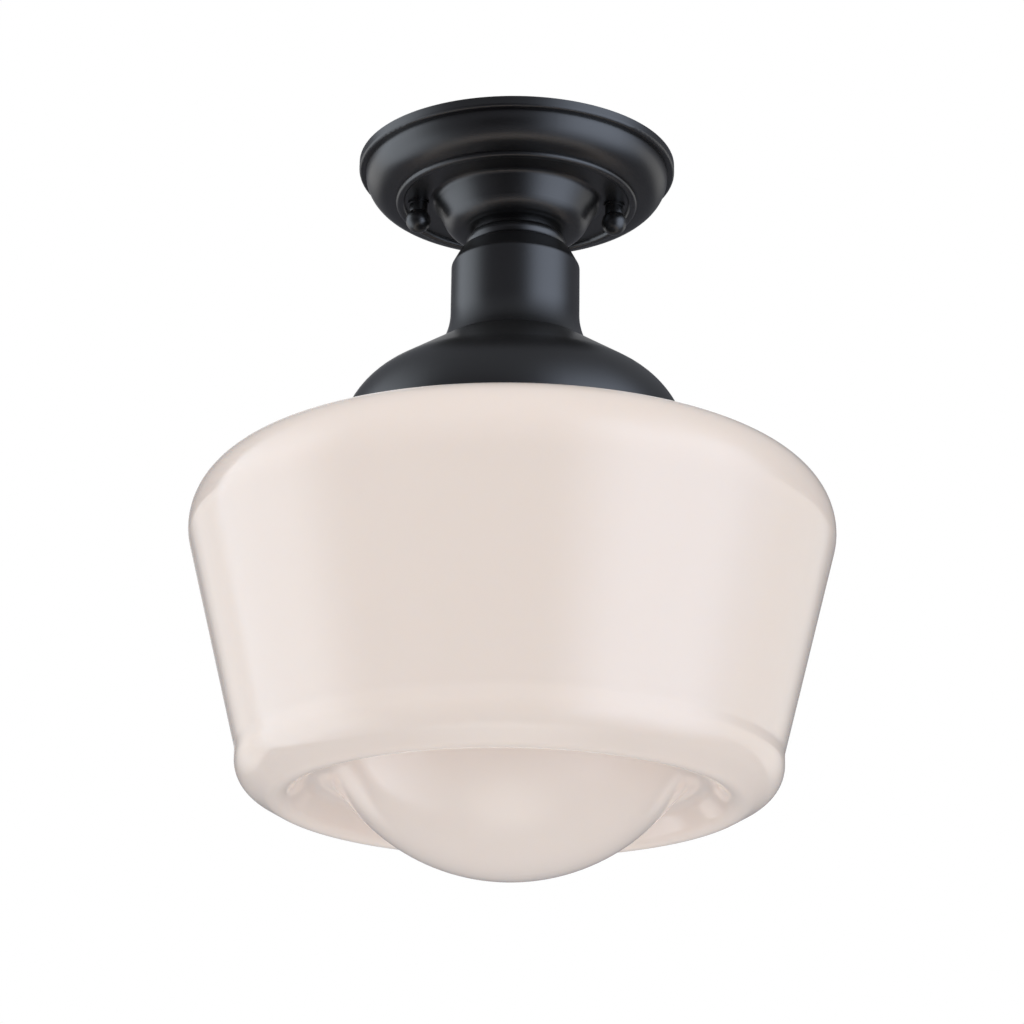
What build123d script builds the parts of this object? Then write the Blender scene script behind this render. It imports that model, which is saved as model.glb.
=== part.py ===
from build123d import *

# Semi flush ceiling light: a stamped canopy on a two-bar ceiling strap, a turned neck ring, a
# cylindrical stem with a flared foot, a bell-shaped fitter and a blown schoolhouse shade whose neck
# screws up into the fitter. A porcelain lampholder and its lamp hang inside.
#
# Millimetres, +Z up. The origin is on the light's own axis, in the plane of the ceiling, so the
# whole light hangs below z = 0. X runs through the two ball nuts, Y along the ceiling strap.
# Sections are drawn in the XZ plane as (radius, height) and turned about Z.

import os
from math import atan2, cos, degrees, radians, sin, sqrt, tan

# --------------------------------------------------------------------------- fits and clearances
THREAD_GAP = 0.05  # radial, between a smooth bore and the smooth rod that stand for a thread
ROD_HOLE_GAP = 0.4  # radial, where a stud or the nipple passes through sheet metal
FACE_GAP = 0.05  # between the faces of two pieces that part from each other in use
NECK_GAP = 0.3  # radial, between the glass neck and the collar that it screws into

# --------------------------------------------------------------------------- ceiling strap
BAR_WIDTH = 16.0
BAR_THICKNESS = 1.6
BAR_END_MARGIN = 4.0  # metal left beyond the last hole
BAR_END_ROUND = 4.0
SLOT_SPACING = 79.4  # midway between the two usual screw spacings of a ceiling box
SLOT_TRAVEL = 9.5  # how far a box screw can sit from one end of its slot to the other
SLOT_WIDTH = 4.8
EYELET_RADIUS = 6.0
EYELET_BORE_RADIUS = 5.0
EYELET_FLANGE_RADIUS = 8.2
EYELET_FLANGE = 0.75
GROUND_SCREW_REACH = 26.0
GROUND_SCREW_RADIUS = 2.0
GROUND_HEAD_RADIUS = 3.4
GROUND_HEAD_HEIGHT = 2.0

# --------------------------------------------------------------------------- canopy
CANOPY_RADIUS = 64.6
CANOPY_SHEET = 0.9
LIP_HEIGHT = 4.2  # the upright band against the ceiling
LIP_ROUND = 1.3
LIP_STEP = 2.8  # how far the groove behind the lip goes in
OGEE_RADIUS = 11.6  # the big quarter round
OGEE_UPRIGHT = 0.5  # plain wall between the groove and the quarter round
BEAD_WIDTH = 3.6
BEAD_DEPTH = 1.8
BEAD_ROUND = 1.5
BEAD_MARGIN = 0.9  # flat between the quarter round and the bead
DISH_WIDTH = 12.1  # the flat ring that carries the ball nuts
STUD_FROM_BEAD = 5.7  # from the bead's inner edge in to a stud's axis
BELL_DEPTH = 13.9  # from the dish down to the mouth of the bell
BELL_RUN = 6.8  # how much the bell narrows on the way
BELL_FOOT_ROUND = 3.0
BELL_MOUTH_ROUND = 9.0

# --------------------------------------------------------------------------- canopy studs and balls
STUD_RADIUS = 2.0
STUD_RISE = 1.0  # how far a stud stands above the canopy bar
STUD_NUT_FLATS = 7.0
STUD_NUT_HEIGHT = 3.2
BALL_RADIUS = 5.1
BALL_DROP = 8.1  # from the dish down to the ball's centre
BALL_NECK_RADIUS = 3.7
BALL_SKIRT_RADIUS = 4.3
BALL_SKIRT_HEIGHT = 0.9
BALL_BORE_PAST_CENTRE = 1.5

# --------------------------------------------------------------------------- neck ring and stem
NECK_RING_RADIUS = 20.2
NECK_RING_HEIGHT = 8.1
NECK_RING_WAIST = 17.4  # radius of the groove under the canopy
NECK_RING_LIP = 1.2  # height of that groove
NECK_RING_FOOT = 18.4
STEM_RADIUS = 26.05
STEM_SHEET = 1.0
STEM_HEIGHT = 41.6  # from its top to the lower edge of the flare
SHOULDER_INSET = 3.7
SHOULDER_HEIGHT = 6.9
SHOULDER_TOP_ROUND = 0.9
SHOULDER_FOOT_ROUND = 3.0
FLARE_SPREAD = 3.75
FLARE_HEIGHT = 14.2

# --------------------------------------------------------------------------- fitter
FITTER_RADIUS = 69.5
FITTER_SHEET = 1.0
FITTER_SLOPE = 33.0  # degrees below the horizontal
FITTER_ROUND = 34.0  # the round from the slope down to the rim
FITTER_RIM = 1.3  # upright band at the rim
CROWN_RISE = 2.1  # how far the flat crown reaches up inside the stem's foot
CROWN_ROUND = 1.5

# --------------------------------------------------------------------------- nipple, nuts, washers
NIPPLE_RADIUS = 5.0
NIPPLE_BORE_RADIUS = 3.6
NIPPLE_ABOVE_NUT = 2.5
CANOPY_WASHER_RADIUS = 9.5
CANOPY_WASHER = 1.2
CROWN_WASHER_RADIUS = 16.0
CROWN_WASHER = 1.5
LOCK_NUT_FLATS = 14.0
LOCK_NUT_HEIGHT = 4.0

# --------------------------------------------------------------------------- shade and its collar
SHADE_RADIUS = 127.0  # 10 inches across
GLASS = 3.6
NECK_RADIUS = 63.7
RIM_TO_SHOULDER = 1.9  # clear height under the fitter's rim
SHOULDER_SLOPE = 15.0  # degrees
SHOULDER_ROUND = 24.0
WALL_TAPER = 14.3  # degrees from upright
WALL_HEIGHT = 81.7
WAIST_ROUND = 14.0
HEEL_HEIGHT = 12.0  # upright stretch and corner under the tapered wall
HEEL_ROUND = 13.0
RIDGE_RUN = 17.9  # from the heel in to the ridge round the bowl
RIDGE_DROP = 10.2
RIDGE_ROUND = 8.0
VALLEY_RUN = 14.1  # from the ridge in to the corner of the valley round the bowl
VALLEY_ROUND = 8.0
BOWL_RADIUS = 80.0  # spherical radius of the bowl
BOWL_SLOPE = 50.0  # degrees, where the bowl meets the valley
BOWL_DROP = 25.5  # from the ridge down to the bowl's lowest point
COLLAR_SHEET = 1.0
COLLAR_HEIGHT = 12.0
COLLAR_LIFT = 2.0  # from the fitter's edge up to the collar's
COLLAR_TO_SHOULDER = 1.0  # least room between the collar and the glass shoulder under it
COLLAR_STOP = 4.0  # width of the inward stop above the glass
COLLAR_FLANGE_GAP = 0.1
SEAL_HEIGHT = 1.8
SEAL_WIDTH = 3.4

# --------------------------------------------------------------------------- lampholder
HOLDER_RADIUS = 21.5
HOLDER_HEIGHT = 29.1
HOLDER_SPIGOT_RADIUS = 19.2
HOLDER_SPIGOT_HEIGHT = 7.4
HOLDER_EDGE_ROUND = 1.2
HOLDER_SEAT_GAP = 0.1  # between the porcelain and the cap's plate
SOCKET_DEPTH = 25.5
SOCKET_WALL_GAP = 0.15
SHELL_THICKNESS = 0.45
SHELL_LENGTH = 20.5
SHELL_RECESS = 1.0
CAP_SHEET = 1.2
CAP_SKIRT = 7.0
CAP_GAP = 0.15
BUSHING_RADIUS = 8.0
BUSHING_HEIGHT = 5.0
BUSHING_BELOW_NUT = 0.8
SET_SCREW_RADIUS = 1.5
SET_SCREW_LENGTH = 4.5
HOLDER_SCREW_RADIUS = 1.5
HOLDER_SCREW_HEAD_RADIUS = 2.4
HOLDER_SCREW_HEAD = 1.8
HOLDER_SCREW_REACH = 17.0
HOLDER_SCREW_POCKET = 9.5
HOLDER_POCKET_GAP = 0.2
CONTACT_RADIUS = 4.2
CONTACT_SHEET = 0.5
CONTACT_RIVET_RADIUS = 1.5
CONTACT_RIVET_HEAD = 0.6
CONTACT_STAND_OFF = 0.7
TERMINAL_RADIUS = 1.7
TERMINAL_HEAD_RADIUS = 3.4
TERMINAL_HEAD = 1.8
TERMINAL_LENGTH = 4.6
TERMINAL_DROP = 5.5  # from the porcelain's shoulder down to a terminal screw
TERMINAL_POCKET = 9.0
TERMINAL_POCKET_DEPTH = 2.6
WIRE_WAY = 4.4

# --------------------------------------------------------------------------- lamp
LAMP_LENGTH = 108.0
LAMP_BULB_RADIUS = 30.0
LAMP_CAP_RADIUS = 13.05
LAMP_CAP_SHEET = 0.5
LAMP_CAP_LENGTH = 20.6
LAMP_TIP_RADIUS = 4.3
LAMP_TIP_HEIGHT = 0.8
LAMP_INSULATOR_HEIGHT = 2.5
LAMP_INSULATOR_RADIUS = 10.6
LAMP_INSULATOR_DEPTH = 2.0
LAMP_COLLAR_RADIUS = 13.4
LAMP_COLLAR_HEIGHT = 2.2
LAMP_HOUSING_HEIGHT = 32.0
LAMP_HOUSING_WALL = 1.5
LAMP_SPIGOT_HEIGHT = 8.0
LAMP_MOUTH_INSET = 3.5  # how much smaller the housing's mouth is than the bulb
LAMP_GLOBE_WALL = 1.2
LAMP_BOARD = 1.6

# --------------------------------------------------------------------------- levels, top to bottom
BOX_BAR_TOP = 0.0
BOX_BAR_FOOT = BOX_BAR_TOP - BAR_THICKNESS
CANOPY_BAR_TOP = BOX_BAR_FOOT - FACE_GAP
CANOPY_BAR_FOOT = CANOPY_BAR_TOP - BAR_THICKNESS
GROOVE_LEVEL = -LIP_HEIGHT
DISH_LEVEL = GROOVE_LEVEL - OGEE_UPRIGHT - OGEE_RADIUS
MOUTH_LEVEL = DISH_LEVEL - BELL_DEPTH
STEM_TOP = MOUTH_LEVEL - NECK_RING_HEIGHT
STEM_FOOT = STEM_TOP - STEM_HEIGHT

# --------------------------------------------------------------------------- radii from outside in
groove_radius = CANOPY_RADIUS - LIP_STEP
ogee_end = groove_radius - OGEE_RADIUS
bead_outer = ogee_end - BEAD_MARGIN
bead_inner = bead_outer - BEAD_WIDTH
bell_radius = bead_inner - DISH_WIDTH
stud_reach = bead_inner - STUD_FROM_BEAD
nipple_hole = NIPPLE_RADIUS + ROD_HOLE_GAP
nipple_thread = NIPPLE_RADIUS + THREAD_GAP

# --------------------------------------------------------------------------- fitter levels
foot_radius = STEM_RADIUS + FLARE_SPREAD
slope = tan(radians(FITTER_SLOPE))
CROWN_LEVEL = STEM_FOOT + CROWN_RISE
crown_radius = foot_radius - CROWN_RISE / slope
fitter_corner = STEM_FOOT - (FITTER_RADIUS - foot_radius) * slope
FITTER_FOOT = fitter_corner - FITTER_ROUND * tan(radians(45 - FITTER_SLOPE / 2)) - FITTER_RIM

os.makedirs("parts", exist_ok=True)


# =========================================================================== ceiling strap
# Two bars that turn on a hollow rivet: the upper one takes the ceiling box's own screws in its
# slots, the lower one carries the canopy studs and can be turned to line the light up.
slot_length = SLOT_TRAVEL + SLOT_WIDTH
box_bar_half = SLOT_SPACING / 2 + slot_length / 2 + BAR_END_MARGIN
canopy_bar_half = stud_reach + STUD_RADIUS + BAR_END_MARGIN

with BuildPart() as box_bar:
    with BuildSketch(Plane.XY.offset(BOX_BAR_TOP)):
        RectangleRounded(BAR_WIDTH, 2 * box_bar_half, BAR_END_ROUND)
        Circle(EYELET_RADIUS + THREAD_GAP, mode=Mode.SUBTRACT)
        with GridLocations(0, SLOT_SPACING, 1, 2):
            SlotOverall(slot_length, SLOT_WIDTH, rotation=90, mode=Mode.SUBTRACT)
        with Locations((0, GROUND_SCREW_REACH)):
            Circle(GROUND_SCREW_RADIUS + THREAD_GAP, mode=Mode.SUBTRACT)
    extrude(amount=-BAR_THICKNESS)
    with BuildSketch(Plane.XY.offset(BOX_BAR_TOP)):
        Circle(EYELET_FLANGE_RADIUS + FACE_GAP)
    extrude(amount=-EYELET_FLANGE - FACE_GAP, mode=Mode.SUBTRACT)
box_bar.part.label = "box_bar"
export_step(box_bar.part, "parts/box_bar.step")

with BuildPart() as canopy_bar:
    with BuildSketch(Plane.XY.offset(CANOPY_BAR_TOP)):
        RectangleRounded(2 * canopy_bar_half, BAR_WIDTH, BAR_END_ROUND)
        Circle(EYELET_RADIUS + THREAD_GAP, mode=Mode.SUBTRACT)
        with GridLocations(2 * stud_reach, 0, 2, 1):
            Circle(STUD_RADIUS + THREAD_GAP, mode=Mode.SUBTRACT)
    extrude(amount=-BAR_THICKNESS)
canopy_bar.part.label = "canopy_bar"
export_step(canopy_bar.part, "parts/canopy_bar.step")

with BuildPart() as bar_eyelet:
    with BuildSketch(Plane.XZ):
        with BuildLine():
            Polyline(
                (EYELET_BORE_RADIUS, BOX_BAR_TOP),
                (EYELET_FLANGE_RADIUS, BOX_BAR_TOP),
                (EYELET_FLANGE_RADIUS, BOX_BAR_TOP - EYELET_FLANGE),
                (EYELET_RADIUS, BOX_BAR_TOP - EYELET_FLANGE),
                (EYELET_RADIUS, CANOPY_BAR_FOOT - FACE_GAP),
                (EYELET_FLANGE_RADIUS, CANOPY_BAR_FOOT - FACE_GAP),
                (EYELET_FLANGE_RADIUS, CANOPY_BAR_FOOT - FACE_GAP - EYELET_FLANGE),
                (EYELET_BORE_RADIUS, CANOPY_BAR_FOOT - FACE_GAP - EYELET_FLANGE),
                close=True,
            )
        make_face()
    revolve(axis=Axis.Z)
bar_eyelet.part.label = "bar_eyelet"
export_step(bar_eyelet.part, "parts/bar_eyelet.step")

with BuildPart() as ground_screw:
    with BuildSketch(Plane.XY.offset(BOX_BAR_FOOT)):
        with Locations((0, GROUND_SCREW_REACH)):
            RegularPolygon(GROUND_HEAD_RADIUS, 6)
    extrude(amount=-GROUND_HEAD_HEIGHT)
    with BuildSketch(Plane.XY.offset(BOX_BAR_FOOT - GROUND_HEAD_HEIGHT)):
        with Locations((0, GROUND_SCREW_REACH)):
            Circle(GROUND_SCREW_RADIUS)
    extrude(amount=BAR_THICKNESS + GROUND_HEAD_HEIGHT)
ground_screw.part.label = "ground_screw"
export_step(ground_screw.part, "parts/ground_screw.step")

# =========================================================================== canopy
# The section runs from the ceiling down the lip, round the quarter round and the bead, across the
# dish and down the bell to its flat mouth.
mouth_corner = bell_radius - BELL_RUN
bead_level = DISH_LEVEL - BEAD_DEPTH

with BuildPart() as canopy:
    with BuildSketch(Plane.XZ):
        with BuildLine():
            FilletPolyline(
                (CANOPY_RADIUS, 0),
                (CANOPY_RADIUS, GROOVE_LEVEL),
                (groove_radius, GROOVE_LEVEL),
                (groove_radius, DISH_LEVEL),
                (bead_outer, DISH_LEVEL),
                (bead_outer, bead_level),
                (bead_inner, bead_level),
                (bead_inner, DISH_LEVEL),
                (bell_radius, DISH_LEVEL),
                (mouth_corner, MOUTH_LEVEL),
                (nipple_hole, MOUTH_LEVEL),
                radius=[
                    LIP_ROUND,
                    0,
                    OGEE_RADIUS,
                    0,
                    BEAD_ROUND,
                    BEAD_ROUND,
                    0,
                    BELL_FOOT_ROUND,
                    BELL_MOUTH_ROUND,
                ],
            )
            offset(amount=CANOPY_SHEET, kind=Kind.INTERSECTION, side=Side.RIGHT)
        make_face()
    revolve(axis=Axis.Z)
    with BuildSketch(Plane.XY.offset(DISH_LEVEL)):
        with GridLocations(2 * stud_reach, 0, 2, 1):
            Circle(STUD_RADIUS + ROD_HOLE_GAP)
    extrude(amount=CANOPY_SHEET, mode=Mode.SUBTRACT)
canopy.part.label = "canopy"
export_step(canopy.part, "parts/canopy.step")

# =========================================================================== studs and ball nuts
stud_top = CANOPY_BAR_TOP + STUD_RISE
ball_level = DISH_LEVEL - BALL_DROP
for side, name in ((-1, "left"), (1, "right")):
    with BuildPart() as stud:
        with BuildSketch(Plane.XY.offset(stud_top)):
            with Locations((side * stud_reach, 0)):
                Circle(STUD_RADIUS)
        extrude(amount=ball_level - stud_top)
        chamfer(stud.edges().filter_by(GeomType.CIRCLE), STUD_RADIUS * 0.2)
    stud.part.label = f"stud_{name}"
    export_step(stud.part, f"parts/stud_{name}.step")

    # A ball on a short waist with a flat skirt that bears on the dish, bored blind for the stud.
    nut_top = DISH_LEVEL - FACE_GAP
    skirt_foot = nut_top - BALL_SKIRT_HEIGHT
    waist_foot = ball_level + sqrt(BALL_RADIUS**2 - BALL_NECK_RADIUS**2)
    bore_radius = STUD_RADIUS + THREAD_GAP
    bore_end = ball_level - BALL_BORE_PAST_CENTRE
    with BuildPart() as ball_nut:
        with BuildSketch(Plane(origin=(side * stud_reach, 0, 0), x_dir=(1, 0, 0), z_dir=(0, -1, 0))):
            with BuildLine():
                Polyline(
                    (0, ball_level - BALL_RADIUS),
                    (0, bore_end),
                    (bore_radius, bore_end),
                    (bore_radius, nut_top),
                    (BALL_SKIRT_RADIUS, nut_top),
                    (BALL_SKIRT_RADIUS, skirt_foot),
                    (BALL_NECK_RADIUS, skirt_foot),
                    (BALL_NECK_RADIUS, waist_foot),
                )
                ThreePointArc(
                    (BALL_NECK_RADIUS, waist_foot),
                    (BALL_RADIUS, ball_level),
                    (0, ball_level - BALL_RADIUS),
                )
            make_face()
        revolve(axis=Axis((side * stud_reach, 0, 0), (0, 0, 1)))
    ball_nut.part.label = f"ball_nut_{name}"
    export_step(ball_nut.part, f"parts/ball_nut_{name}.step")

with BuildPart() as stud_nuts:
    with BuildSketch(Plane.XY.offset(CANOPY_BAR_FOOT)):
        with GridLocations(2 * stud_reach, 0, 2, 1):
            RegularPolygon(STUD_NUT_FLATS / 2, 6, major_radius=False)
            Circle(STUD_RADIUS + THREAD_GAP, mode=Mode.SUBTRACT)
    extrude(amount=-STUD_NUT_HEIGHT)
stud_nuts.part.label = "stud_nuts"
export_step(stud_nuts.part, "parts/stud_nuts.step")

# =========================================================================== neck ring and stem
with BuildPart() as neck_ring:
    with BuildSketch(Plane.XZ):
        with BuildLine():
            bulge_top = (NECK_RING_WAIST, MOUTH_LEVEL - NECK_RING_LIP)
            bulge_foot = (NECK_RING_FOOT, STEM_TOP + NECK_RING_LIP / 2)
            bulge_crest = (NECK_RING_RADIUS, (bulge_top[1] + bulge_foot[1]) / 2)
            Polyline(bulge_top, (NECK_RING_WAIST, MOUTH_LEVEL), (nipple_hole, MOUTH_LEVEL))
            Line((nipple_hole, MOUTH_LEVEL), (nipple_hole, STEM_TOP))
            Polyline((nipple_hole, STEM_TOP), (NECK_RING_FOOT, STEM_TOP), bulge_foot)
            ThreePointArc(bulge_foot, bulge_crest, bulge_top)
        make_face()
    revolve(axis=Axis.Z)
neck_ring.part.label = "neck_ring"
export_step(neck_ring.part, "parts/neck_ring.step")

# What the fitter fills when it is taken as solid: the stem's foot is trimmed to sit on it.
with BuildPart() as fitter_form:
    with BuildSketch(Plane.XZ):
        with BuildLine():
            Polyline(
                (0, CROWN_LEVEL),
                (crown_radius, CROWN_LEVEL),
                (FITTER_RADIUS, fitter_corner),
                (0, fitter_corner),
                close=True,
            )
        make_face()
    revolve(axis=Axis.Z)

with BuildPart() as stem:
    with BuildSketch(Plane.XZ):
        with BuildLine():
            FilletPolyline(
                (nipple_hole, STEM_TOP),
                (STEM_RADIUS - SHOULDER_INSET, STEM_TOP),
                (STEM_RADIUS, STEM_TOP - SHOULDER_HEIGHT),
                (STEM_RADIUS, STEM_FOOT + FLARE_HEIGHT),
                radius=[SHOULDER_TOP_ROUND, SHOULDER_FOOT_ROUND],
            )
            TangentArc((STEM_RADIUS, STEM_FOOT + FLARE_HEIGHT), (foot_radius, STEM_FOOT), tangent=(0, -1))
            offset(amount=STEM_SHEET, kind=Kind.INTERSECTION, side=Side.RIGHT)
        make_face()
    revolve(axis=Axis.Z)
    add(fitter_form.part, mode=Mode.SUBTRACT)
stem.part.label = "stem"
export_step(stem.part, "parts/stem.step")

# =========================================================================== fitter
with BuildPart() as fitter:
    with BuildSketch(Plane.XZ):
        with BuildLine():
            FilletPolyline(
                (nipple_hole, CROWN_LEVEL),
                (crown_radius, CROWN_LEVEL),
                (FITTER_RADIUS, fitter_corner),
                (FITTER_RADIUS, FITTER_FOOT),
                radius=[CROWN_ROUND, FITTER_ROUND],
            )
            offset(amount=FITTER_SHEET, kind=Kind.INTERSECTION, side=Side.RIGHT)
        make_face()
    revolve(axis=Axis.Z)
fitter.part.label = "fitter"
export_step(fitter.part, "parts/fitter.step")

# =========================================================================== nipple and its nuts
# One threaded tube clamps the stack: canopy, neck ring, stem and fitter between two nuts.
canopy_washer_top = MOUTH_LEVEL + CANOPY_SHEET + CANOPY_WASHER
canopy_nut_top = canopy_washer_top + LOCK_NUT_HEIGHT
crown_washer_foot = CROWN_LEVEL - FITTER_SHEET - CROWN_WASHER
crown_nut_foot = crown_washer_foot - LOCK_NUT_HEIGHT
bushing_top = crown_nut_foot - BUSHING_BELOW_NUT
bushing_foot = bushing_top - BUSHING_HEIGHT

with BuildPart() as nipple:
    with BuildSketch(Plane.XY.offset(canopy_nut_top + NIPPLE_ABOVE_NUT)):
        Circle(NIPPLE_RADIUS)
        Circle(NIPPLE_BORE_RADIUS, mode=Mode.SUBTRACT)
    extrude(amount=bushing_foot - canopy_nut_top - NIPPLE_ABOVE_NUT)
nipple.part.label = "nipple"
export_step(nipple.part, "parts/nipple.step")

for top, radius, thickness, name in (
    (canopy_washer_top, CANOPY_WASHER_RADIUS, CANOPY_WASHER, "canopy_washer"),
    (crown_washer_foot + CROWN_WASHER, CROWN_WASHER_RADIUS, CROWN_WASHER, "crown_washer"),
):
    with BuildPart() as washer:
        with BuildSketch(Plane.XY.offset(top)):
            Circle(radius)
            Circle(nipple_hole, mode=Mode.SUBTRACT)
        extrude(amount=-thickness)
    washer.part.label = name
    export_step(washer.part, f"parts/{name}.step")

for top, name in ((canopy_nut_top, "canopy_nut"), (crown_washer_foot, "crown_nut")):
    with BuildPart() as nut:
        with BuildSketch(Plane.XY.offset(top)):
            RegularPolygon(LOCK_NUT_FLATS / 2, 6, major_radius=False)
            Circle(nipple_thread, mode=Mode.SUBTRACT)
        extrude(amount=-LOCK_NUT_HEIGHT)
    nut.part.label = name
    export_step(nut.part, f"parts/{name}.step")

# =========================================================================== shade collar and seal
# A ring welded inside the fitter's rim. The glass neck screws up into it against a soft seal.
collar_inner = NECK_RADIUS + NECK_GAP
collar_foot = FITTER_FOOT + COLLAR_LIFT
collar_top = collar_foot + COLLAR_HEIGHT
flange_radius = FITTER_RADIUS - FITTER_SHEET - COLLAR_FLANGE_GAP

with BuildPart() as shade_collar:
    with BuildSketch(Plane.XZ):
        with BuildLine():
            Polyline(
                (flange_radius, collar_foot),
                (flange_radius, collar_foot + COLLAR_SHEET),
                (collar_inner + COLLAR_SHEET, collar_foot + COLLAR_SHEET),
                (collar_inner + COLLAR_SHEET, collar_top),
                (collar_inner - COLLAR_STOP, collar_top),
                (collar_inner - COLLAR_STOP, collar_top - COLLAR_SHEET),
                (collar_inner, collar_top - COLLAR_SHEET),
                (collar_inner, collar_foot),
                close=True,
            )
        make_face()
    revolve(axis=Axis.Z)
shade_collar.part.label = "shade_collar"
export_step(shade_collar.part, "parts/shade_collar.step")

seal_top = collar_top - COLLAR_SHEET - FACE_GAP
neck_top = seal_top - SEAL_HEIGHT

with BuildPart() as shade_seal:
    with BuildSketch(Plane.XY.offset(seal_top)):
        Circle(NECK_RADIUS)
        Circle(NECK_RADIUS - SEAL_WIDTH, mode=Mode.SUBTRACT)
    extrude(amount=-SEAL_HEIGHT)
shade_seal.part.label = "shade_seal"
export_step(shade_seal.part, "parts/shade_seal.step")

# =========================================================================== shade
# The section runs down the neck, out along the sloping shoulder, round it, down the tapered wall
# and the heel, in to the ridge, up into the valley and down the bowl to the lowest point.
shoulder_tan = tan(radians(SHOULDER_SLOPE))
taper_tan = tan(radians(WALL_TAPER))

# The narrower the neck, the higher the shoulder meets it, so a narrow one hangs clear of the collar.
shoulder_top = min(
    FITTER_FOOT - RIM_TO_SHOULDER + (FITTER_RADIUS - NECK_RADIUS) * shoulder_tan,
    collar_foot - COLLAR_TO_SHOULDER,
)

# The round between shoulder and wall touches the largest radius; its lines meet at the corner.
round_centre = SHADE_RADIUS - SHOULDER_ROUND
shoulder_end = round_centre + SHOULDER_ROUND * sin(radians(SHOULDER_SLOPE))
shoulder_end_level = shoulder_top - (shoulder_end - NECK_RADIUS) * shoulder_tan
round_centre_level = shoulder_end_level - SHOULDER_ROUND * cos(radians(SHOULDER_SLOPE))
wall_start = round_centre + SHOULDER_ROUND * cos(radians(WALL_TAPER))
wall_start_level = round_centre_level - SHOULDER_ROUND * sin(radians(WALL_TAPER))
corner_reach = SHOULDER_ROUND / cos(radians((90 - SHOULDER_SLOPE + WALL_TAPER) / 2))
corner_angle = radians((90 - SHOULDER_SLOPE - WALL_TAPER) / 2)
corner_radius = round_centre + corner_reach * cos(corner_angle)
corner_level = round_centre_level + corner_reach * sin(corner_angle)

heel_radius = wall_start - WALL_HEIGHT * taper_tan
heel_top = wall_start_level - WALL_HEIGHT
heel_level = heel_top - HEEL_HEIGHT
ridge_radius = heel_radius - RIDGE_RUN
ridge_level = heel_level - RIDGE_DROP
valley_radius = ridge_radius - VALLEY_RUN
SHADE_FOOT = ridge_level - BOWL_DROP
bowl_edge = BOWL_RADIUS * sin(radians(BOWL_SLOPE))
bowl_edge_level = SHADE_FOOT + BOWL_RADIUS * (1 - cos(radians(BOWL_SLOPE)))
valley_level = bowl_edge_level + (valley_radius - bowl_edge) * tan(radians(BOWL_SLOPE))

with BuildPart() as shade:
    with BuildSketch(Plane.XZ):
        with BuildLine():
            FilletPolyline(
                (NECK_RADIUS, neck_top),
                (NECK_RADIUS, shoulder_top),
                (corner_radius, corner_level),
                (heel_radius, heel_top),
                (heel_radius, heel_level),
                (ridge_radius, ridge_level),
                (valley_radius, valley_level),
                (bowl_edge, bowl_edge_level),
                radius=[
                    0,
                    SHOULDER_ROUND,
                    WAIST_ROUND,
                    HEEL_ROUND,
                    RIDGE_ROUND,
                    VALLEY_ROUND,
                ],
            )
            TangentArc(
                (0, SHADE_FOOT),
                (bowl_edge, bowl_edge_level),
                tangent=(1, 0),
            )
            offset(amount=GLASS, kind=Kind.INTERSECTION, side=Side.RIGHT)
        make_face()
    revolve(axis=Axis.Z)
shade.part.label = "shade"
export_step(shade.part, "parts/shade.step")

# =========================================================================== lampholder
# The cap screws onto the nipple until it stops on its own plate; two long screws hold the
# porcelain up inside its skirt.
cap_top = bushing_foot
cap_plate_foot = cap_top - CAP_SHEET
cap_inner = HOLDER_SPIGOT_RADIUS + CAP_GAP
set_screw_level = bushing_top - BUSHING_HEIGHT / 2

with BuildPart() as holder_cap:
    with BuildSketch(Plane.XZ):
        with BuildLine():
            Polyline(
                (nipple_thread, bushing_top),
                (BUSHING_RADIUS, bushing_top),
                (BUSHING_RADIUS, cap_top),
                (cap_inner + CAP_SHEET, cap_top),
                (cap_inner + CAP_SHEET, cap_plate_foot - CAP_SKIRT),
                (cap_inner, cap_plate_foot - CAP_SKIRT),
                (cap_inner, cap_plate_foot),
                (NIPPLE_BORE_RADIUS, cap_plate_foot),
                (NIPPLE_BORE_RADIUS, cap_top),
                (nipple_thread, cap_top),
                close=True,
            )
        make_face()
    revolve(axis=Axis.Z)
    cap_edges = holder_cap.edges().filter_by(GeomType.CIRCLE).sort_by(SortBy.RADIUS)
    fillet(cap_edges[-2:].sort_by(Axis.Z)[-1], CAP_SHEET * 0.8)
    with BuildSketch(Plane.XY.offset(cap_top)):
        with GridLocations(0, 2 * HOLDER_SCREW_REACH, 1, 2):
            Circle(HOLDER_SCREW_RADIUS + THREAD_GAP)
    extrude(amount=-CAP_SHEET, mode=Mode.SUBTRACT)
    with BuildSketch(Plane.XZ):
        with Locations((0, set_screw_level)):
            Circle(SET_SCREW_RADIUS + THREAD_GAP)
    extrude(amount=-BUSHING_RADIUS, mode=Mode.SUBTRACT)
holder_cap.part.label = "holder_cap"
export_step(holder_cap.part, "parts/holder_cap.step")

with BuildPart() as set_screw:
    with BuildSketch(Plane.XZ.offset(-NIPPLE_RADIUS - FACE_GAP)):
        with Locations((0, set_screw_level)):
            Circle(SET_SCREW_RADIUS)
    extrude(amount=-SET_SCREW_LENGTH)
set_screw.part.label = "set_screw"
export_step(set_screw.part, "parts/set_screw.step")

holder_top = cap_plate_foot - HOLDER_SEAT_GAP
holder_shoulder = holder_top - HOLDER_SPIGOT_HEIGHT
holder_foot = holder_top - HOLDER_HEIGHT
channel_foot = holder_top - WIRE_WAY / 2
socket_top = holder_foot + SOCKET_DEPTH
shell_inner = LAMP_CAP_RADIUS + THREAD_GAP
socket_radius = shell_inner + SHELL_THICKNESS + SOCKET_WALL_GAP
screw_seat = holder_foot + HOLDER_SCREW_POCKET
terminal_level = holder_shoulder - TERMINAL_DROP
terminal_seat = HOLDER_RADIUS - TERMINAL_POCKET_DEPTH

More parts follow.
